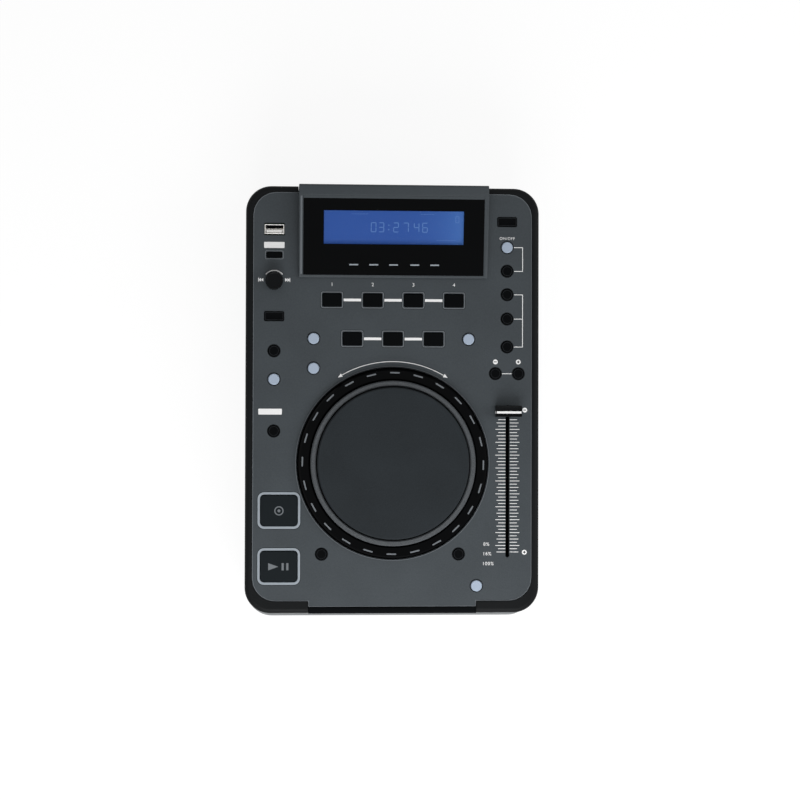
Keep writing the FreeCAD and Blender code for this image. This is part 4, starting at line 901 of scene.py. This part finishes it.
# %% Symbols on the two large keys
PLAY_ROW = -123.4
CUE_ROW = -82.3
shapes = [flat_triangle(-89.2, PLAY_ROW, 7.4, 5.3, 0)]
shapes += [flat_bar(u, PLAY_ROW, 1.6, 5.3) for u in (-81.0, -77.6)]
inked("play_symbol", shapes, "play_key", grey_ink, lift=KEY_TOP)
shapes = [flat_ring(LARGE_COLUMN, CUE_ROW, 2.6, 3.4, steps=64), flat_disc(LARGE_COLUMN, CUE_ROW, 1.1)]
inked("cue_symbol", shapes, "cue_key", grey_ink, lift=KEY_TOP)

# %% [markdown]
# Twenty-four pale dashes run round the black ring of the jog wheel. One is a bar with round ends, and the
# rest are copies turned by fifteen degrees. They ride on the wheel.

# %% Dashes on the jog ring
DASHES = 24
DASH_RADIUS = 66.9
RING_TOP = 5.5
DASH_SHIFT = 1.0

dash = flat_bar(0, 0, 1.05, 7.2, 0.5)
places = []
for place in range(DASHES):
    angle = 360 / DASHES * place - DASH_SHIFT
    u = DASH_RADIUS * math.cos(math.radians(angle))
    v = DASH_RADIUS * math.sin(math.radians(angle))
    places.append((u, v + JOG, angle))
inked("jog_dashes", [stamp(dash, places)], "jog", grey_ink, lift=RING_TOP)

# %% [markdown]
# The screen shows a running time in seven-segment figures. A figure is up to seven bars, and a table of
# letters says which of them are lit. They lie just over the screen, under the window. Five short marks are
# printed on the window itself.

# %% Figures on the screen
SEGMENTS = {"0": "abcdef", "2": "abdeg", "3": "abcdg", "4": "bcfg", "6": "acdefg", "7": "abc"}
FIGURE_HEIGHT = 7.3
FIGURE_WIDTH = 4.1
STROKE = 0.62
PLACES = {
    "a": (0, 1, True),
    "g": (0, 0, True),
    "d": (0, -1, True),
    "f": (-1, 0.5, False),
    "b": (1, 0.5, False),
    "e": (-1, -0.5, False),
    "c": (1, -0.5, False),
}
SCREEN_DROP = 2.27
FIGURE_ROW = up_window(126.6)
MARK_ROW = up_window(99.5)


def figure(digit, u, v, size=1.0):
    """The lit bars of one figure."""
    made = []
    for letter in SEGMENTS[digit]:
        across, up, level = PLACES[letter]
        length = FIGURE_WIDTH - STROKE * 1.3 if level else FIGURE_HEIGHT / 2 - STROKE * 1.3
        width, depth = (length, STROKE) if level else (STROKE, length)
        spot_u = u + across * (FIGURE_WIDTH - STROKE) / 2 * size
        spot_v = v + up * (FIGURE_HEIGHT - STROKE) / 2 * size
        made.append(flat_bar(spot_u, spot_v, width * size, depth * size))
    return made


shapes = []
for digit, u in zip("032746", (-15.0, -9.2, 1.6, 9.0, 16.8, 23.0)):
    shapes += figure(digit, u, FIGURE_ROW)
shapes += figure("0", 46.9, up_window(132.6), 0.68)
shapes += [flat_bar(-3.8, FIGURE_ROW + side * 1.6, 0.8, 0.8) for side in (-1, 1)]
for start, count, v in ((-30.5, 6, 136.2), (20.5, 5, 136.2), (32.5, 7, 117.5)):
    shapes += [flat_bar(start + place * 2.1, up_window(v), 1.3, 0.35) for place in range(count)]
inked("screen_figures", shapes, "case", glowing, WINDOW, -SCREEN_DROP, 0.02)

marks = [flat_bar(u, MARK_ROW, 6.5, 1.0) for u in (-29.5, -14.7, 0, 15.7, 30.5)]
inked("window_marks", marks, "case", pale_ink, WINDOW, 0.0, 0.02)

# %% [markdown]
# Sheet metal and mouldings never have knife edges. The shapes of these nodes are right, so each is copied,
# its loose triangles are merged and joined into plain faces, and a fine bevel rounds the edges. The copy
# then stands for the node. The bezel at the front gets a deeper black than the bumpers beside it.

# %% Rounded copies of sharp-edged nodes


def plain_copy(node, name):
    """Copy a node, and merge its loose triangles into plain faces."""
    piece = bpy.data.objects.new(name, nodes[node].data.copy())
    bpy.context.collection.objects.link(piece)
    edit(piece)
    bpy.ops.mesh.remove_doubles(threshold=0.000002)
    bpy.ops.mesh.dissolve_limited(angle_limit=math.radians(0.5))
    leave()
    return piece


def rounded_copy(node, width, body, steps=2, finish=None):
    """Round the edges of a node's copy, and let it stand for the node."""
    slot_name = next(e["material_slot"] for e in frame["record"]["subparts"] if e["node"] == node)
    name = node + "_rounded"
    piece = plain_copy(node, name)
    round_edges(piece, width, steps)
    hand_over(piece, name, body, finish or FINISHES[slot_name], (node,))


rounded_copy("display_housing", 0.5, "case", 3)
rounded_copy("front_fascia", 0.4, "case", 3, bezel)
rounded_copy("mains_inlet", 0.3, "case")
rounded_copy("power_rocker", 0.35, "rocker", 3)

# %% [markdown]
# A strip of the housing's own metal covers the window's top edge. A thin pale strip along the housing's left
# rim is a painted highlight, where the rim catches the light.

# %% Trim of the display
WINDOW_HALF = 66.8
RIM_COLUMN = -68.3
RIM_WIDTH = 1.2
top_edge = up_window(148.5)
strip = flat_bar(0, top_edge, WINDOW_HALF * 2, 2.0)
inked("window_top_trim", [strip], "case", FINISHES["deck_metal"], WINDOW, 0.0, 0.05)
# Painted highlight: a thin pale strip on the housing's left rim.
rim_length = up_window(149.0) - up_window(92.5)
rim = flat_bar(RIM_COLUMN, up_window(120.8), RIM_WIDTH, rim_length)
inked("housing_left_rim_highlight", [rim], "case", painted_highlight, WINDOW, 0.0, 0.03)

# %% [markdown]
# The encoder's knob is a fluted cylinder. It starts as a cylinder of ninety-six sides. Two sides out of four
# are inset and pushed in, which leaves ribs, the top is dished, and the bottom runs down into the shaft.

# %% Encoder knob
KNOB_RADIUS = 6.5
KNOB_LOW = 0.5
KNOB_TOP = 10.0
SHAFT_RADIUS = 3.0
SHAFT_LOW = -9.9
SIDES = 96
FLUTE_RIM = 0.08
FLUTE_DEPTH = 0.35
TOP_RIM = 0.9
DISH_RIM = 0.5
DISH_DEPTH = 0.35

deselect()
bpy.ops.mesh.primitive_cylinder_add(
    vertices=SIDES,
    radius=KNOB_RADIUS * MM,
    depth=(KNOB_TOP - KNOB_LOW) * MM,
    location=(0, 0, (KNOB_TOP + KNOB_LOW) / 2 * MM),
)
knob = fix(bpy.context.object)


def in_flute(centre, normal):
    """Tell whether a side face lies in one of the flutes."""
    side = int(math.degrees(math.atan2(centre.y, centre.x)) % 360 / (360 / SIDES))
    return abs(normal.z) < 0.5 and side % 4 < 2


edit(knob)
pick(knob, in_flute)
bpy.ops.mesh.inset(thickness=FLUTE_RIM * MM, depth=-FLUTE_DEPTH * MM)
pick(knob, lambda centre, normal: normal.z > 0.9 and centre.z > (KNOB_TOP - 0.01) * MM)
bpy.ops.mesh.inset(thickness=TOP_RIM * MM)
bpy.ops.mesh.inset(thickness=DISH_RIM * MM, depth=-DISH_DEPTH * MM)
pick(knob, lambda centre, normal: normal.z < -0.9 and centre.z < (KNOB_LOW + 0.01) * MM)
bpy.ops.mesh.inset(thickness=(KNOB_RADIUS - SHAFT_RADIUS) * MM)
bpy.ops.mesh.extrude_region_move(TRANSFORM_OT_translate={"value": (0, 0, (SHAFT_LOW - KNOB_LOW) * MM)})
leave()
round_edges(knob, 0.12, 2, 40)
fix(knob, DECK @ Matrix.Translation((LEFT * MM, ENCODER * MM, 0)))
hand_over(knob, "fluted_knob", "encoder", FINISHES["knob_black"], ("encoder_knob",))

# %% [markdown]
# The fader's cap has a ridge across it, a little in front of its middle, and a hollow each side of it. A
# box is cut into strips, and the two strips beside the ridge are inset and pushed down. A white line runs
# over the ridge and down both ends.

# %% Fader cap
CAP_WIDTH = 19.0
CAP_DEPTH = 8.2
CAP_LOW = 1.2
CAP_TOP = 10.2
CAP_REST = -8.4
RIDGE = -0.9
RIDGE_HALF = 1.1
HOLLOW_ENDS = (-3.6, 3.5)
HOLLOW_RIM = 0.35
HOLLOW_DEPTH = 0.9
RIDGE_LINE = 1.6
LINE_END = 7.4
LINE_END_LEVEL = 6.0


def in_hollow(centre, normal):
    """Tell whether a face at the top lies beside the ridge."""
    along = centre.y / MM
    inside = HOLLOW_ENDS[0] < along < HOLLOW_ENDS[1]
    return normal.z > 0.9 and inside and abs(along - RIDGE) > RIDGE_HALF


deselect()
bpy.ops.mesh.primitive_cube_add(size=1)
cap = bpy.context.object
cap.scale = (CAP_WIDTH * MM, CAP_DEPTH * MM, (CAP_TOP - CAP_LOW) * MM)
cap.location = (0, 0, (CAP_TOP + CAP_LOW) / 2 * MM)
fix(cap)
edit(cap)
for cut in (HOLLOW_ENDS[0], RIDGE - RIDGE_HALF, RIDGE + RIDGE_HALF, HOLLOW_ENDS[1]):
    bpy.ops.mesh.select_all(action="SELECT")
    bpy.ops.mesh.bisect(plane_co=(0, cut * MM, 0), plane_no=(0, 1, 0))
pick(cap, in_hollow)
bpy.ops.mesh.inset(thickness=HOLLOW_RIM * MM)
bpy.ops.transform.translate(value=(0, 0, -HOLLOW_DEPTH * MM))
leave()
round_edges(cap, 0.35, 3, 25)
CAP = DECK @ Matrix.Translation((FADER * MM, CAP_REST * MM, 0))
fix(cap, CAP)
hand_over(cap, "fader_cap", "fader", FINISHES["knob_black"], ("fader_knob",))

line = flat_bar(0, 0, CAP_WIDTH - 0.7, RIDGE_LINE)
thicken(line, 0.04)
fix(line, CAP @ Matrix.Translation((0, RIDGE * MM, (CAP_TOP + 0.005) * MM)))
line_ends = []
for side in (-1, 1):
    end = flat_bar(0, 0, LINE_END, RIDGE_LINE)
    thicken(end, 0.04)
    upright = Matrix.Rotation(math.radians(side * 90), 4, "Y")
    spot = (side * (CAP_WIDTH / 2 + 0.002) * MM, RIDGE * MM, LINE_END_LEVEL * MM)
    line_ends.append(fix(end, CAP @ Matrix.Translation(spot) @ upright))
hand_over(join([line] + line_ends), "fader_cap_line", "fader", white_ink)

# %% [markdown]
# The USB socket is two things: a bright shell and a white tongue. The node holds both, so its copy is
# separated into loose parts, and the larger one is the shell. Four gilt contacts lie along the tongue, and a
# dark plate behind it is painted shade, standing for the depth of the mouth.

# %% USB socket
USB = 125.8
USB_TOP = -0.4
TONGUE_SHIFT = -1.5
CONTACT_PITCH = 2.4
CONTACT_SIZE = (1.1, 7.0)
CONTACT_SHIFT = 1.0
CONTACT_DROP = 4.8
SHADE_SIZE = (12.8, 2.3)
SHADE_SHIFT = 1.9
SHADE_DROP = 3.0

socket = plain_copy("usb_socket", "usb_copy")
edit(socket)
bpy.ops.mesh.separate(type="LOOSE")
leave()
loose = sorted(bpy.context.selected_objects, key=lambda item: item.dimensions.x)
tongue, shell = loose[0], loose[-1]
round_edges(shell, 0.12, 2)
hand_over(shell, "usb_shell", "case", bright_tin, ("usb_socket",))
round_edges(tongue, 0.15, 2)
hand_over(tongue, "usb_tongue", "case", white_plastic, ("usb_socket",))

contacts = []
for place in range(4):
    contact = flat_bar(0, 0, *CONTACT_SIZE)
    thicken(contact, 0.08)
    u = LEFT + (place - 1.5) * CONTACT_PITCH
    v = USB + TONGUE_SHIFT + CONTACT_SHIFT
    spot = Matrix.Translation((u * MM, v * MM, (USB_TOP - CONTACT_DROP) * MM))
    contacts.append(fix(contact, DECK @ spot @ Matrix.Rotation(math.radians(-90), 4, "X")))
hand_over(join(contacts), "usb_contacts", "case", gold)
# Painted shade: a dark plate deep in the socket's mouth.
shade_plate = flat_bar(LEFT, USB + SHADE_SHIFT, *SHADE_SIZE)
shade_plate_level = USB_TOP - SHADE_DROP
inked("usb_depth", [shade_plate], "case", FINISHES["fader_casing"], lift=shade_plate_level)

# %% [markdown]
# The three round sockets at the back share one block. Each has a nickel barrel with a hollow mouth, and in
# it an insulator with the hole for the plug's pin. The colours are the usual red, white and black.

# %% Audio sockets
jack_low, jack_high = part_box("audio_jacks")
BARREL = 4.15
BARREL_WALL = 0.5
BARREL_MOUTH = 1.4
CORE_RADIUS = BARREL - 0.52
CORE_ROOT = 9.0
CORE_TIP = 0.6
PIN_HOLE = 1.7
PIN_HOLE_DEPTH = 7.5
BLOCK_DEPTH = 12.0
SOCKET_LEVEL = 36.0
JACK_COLUMNS = (-66.0, -47.0, -28.0)
tip = jack_high.y / MM
block_face = jack_low.y / MM + BLOCK_DEPTH


def outward_cylinder(u, radius, near, far):
    """A cylinder that points to the rear, between two places along y."""
    deselect()
    bpy.ops.mesh.primitive_cylinder_add(
        vertices=48,
        radius=radius * MM,
        depth=(far - near) * MM,
        location=(u * MM, (near + far) / 2 * MM, SOCKET_LEVEL * MM),
        rotation=(math.radians(90), 0, 0),
    )
    return fix(bpy.context.object)


def hollow(piece, wall, depth):
    """Open the rear end of a cylinder, leaving a wall round a hole."""
    edit(piece)
    pick(piece, lambda centre, normal: normal.y > 0.9)
    bpy.ops.mesh.inset(thickness=wall * MM)
    bpy.ops.mesh.extrude_region_move(TRANSFORM_OT_translate={"value": (0, -depth * MM, 0)})
    leave()
    return piece


barrels = []
colours = (red_plastic, white_plastic, FINISHES["socket_plastic"])
for u, colour, name in zip(JACK_COLUMNS, colours, ("first", "second", "third")):
    barrel = hollow(outward_cylinder(u, BARREL, block_face, tip), BARREL_WALL, BARREL_MOUTH)
    barrels.append(round_edges(barrel, 0.12, 2))
    core = outward_cylinder(u, CORE_RADIUS, tip - CORE_ROOT, tip - CORE_TIP)
    hollow(core, CORE_RADIUS - PIN_HOLE, PIN_HOLE_DEPTH)
    hand_over(round_edges(core, 0.1, 2), name + "_insulator", "case", colour)
hand_over(join(barrels), "jack_barrels", "case", nickel, ("audio_jacks",))

deselect()
bpy.ops.mesh.primitive_cube_add(size=1)
block = bpy.context.object
block.scale = (jack_high.x - jack_low.x, BLOCK_DEPTH * MM, jack_high.z - jack_low.z)
block.location = (
    (jack_low.x + jack_high.x) / 2,
    jack_low.y + BLOCK_DEPTH / 2 * MM,
    (jack_low.z + jack_high.z) / 2,
)
fix(block)
edit(block)
pick(block, lambda centre, normal: normal.y < -0.9)
bpy.ops.mesh.inset(thickness=1.2 * MM, depth=-0.8 * MM)
leave()
round_edges(block, 0.4, 2)
hand_over(block, "jack_block", "case", FINISHES["socket_plastic"], ("audio_jacks",))

# %% [markdown]
# The pins of the mains inlet are bare metal, so each wears a plated sleeve a few hundredths thick. The rocker
# beside it has the two usual marks, a bar and a ring, and they tilt with it.

# %% Inlet pins and rocker marks
inlet_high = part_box("mains_inlet")[1]
WELL = 51.5
WELL_DEPTH = 18.0
PIN_LENGTH = 15.0
PIN_WIDTH = 2.06
PIN_HEIGHT = 4.06
floor = inlet_high.y / MM - WELL_DEPTH
pins = []
for u, z in ((WELL - 7, SOCKET_LEVEL), (WELL + 7, SOCKET_LEVEL), (WELL, SOCKET_LEVEL + 4.5)):
    deselect()
    bpy.ops.mesh.primitive_cube_add(size=1)
    pin = bpy.context.object
    pin.scale = (PIN_WIDTH * MM, (PIN_LENGTH + 0.04) * MM, PIN_HEIGHT * MM)
    pin.location = (u * MM, (floor + PIN_LENGTH / 2) * MM, z * MM)
    pins.append(round_edges(fix(pin), 0.3, 2))
hand_over(join(pins), "inlet_pins", "case", nickel)

ROCKER_COLUMN = 74.5
ROCKER_DEPTH = 3.0
ROCKER_TILT = math.radians(7.0)
FACE_LEAN = math.atan(1.4 / 9.2)
MARK_HEIGHT = 5.2
pivot = Vector((ROCKER_COLUMN * MM, inlet_high.y - ROCKER_DEPTH * MM, SOCKET_LEVEL * MM))
marks = []
for side, mark in ((1, flat_bar(0, 0, 0.7, 3.6)), (-1, flat_ring(0, 0, 1.3, 1.9, steps=48))):
    thicken(mark, 0.03)
    spot = Vector((0, 0.9 + MARK_HEIGHT * math.tan(FACE_LEAN) + 0.01, side * MARK_HEIGHT)) * MM
    stand = Matrix.Rotation(math.radians(-90) - side * FACE_LEAN, 4, "X")
    tilt = Matrix.Translation(pivot) @ Matrix.Rotation(ROCKER_TILT, 4, "X")
    marks.append(fix(mark, tilt @ Matrix.Translation(spot) @ stand))
hand_over(join(marks), "rocker_marks", "rocker", white_ink)

# %% [markdown]
# The floor is a large white plane that belongs to the studio. The photograph's background is pure white, so
# the camera sees mostly an even glow there, and only a fifth of it is paper that can take a soft shadow.

# %% Floor
GLOW_SHARE = 0.8
GLOW_LEVEL = 1.1

deselect()
bpy.ops.mesh.primitive_plane_add(size=12)
ground = bpy.context.object
ground.name = "floor"
paper = Finish("floor_paper")
soft = paper.noise(3, 2.0)
paper.set(Base_Color=paper.mix(soft + 0.5, (0.92, 0.92, 0.92), (0.94, 0.94, 0.94)), Roughness=0.85)
glow = paper.node("ShaderNodeEmission", None, {"Color": (1.0, 1.0, 1.0), "Strength": GLOW_LEVEL})
seen = Value(paper, seen_rays(paper.tree)) * GLOW_SHARE
blend = paper.node("ShaderNodeMixShader", None, {0: seen, 1: paper.shader.outputs[0], 2: glow.outputs[0]})
paper.feed(paper.tree.nodes["Material Output"].inputs["Surface"], blend.outputs[0])
ground.data.materials.append(paper.material)
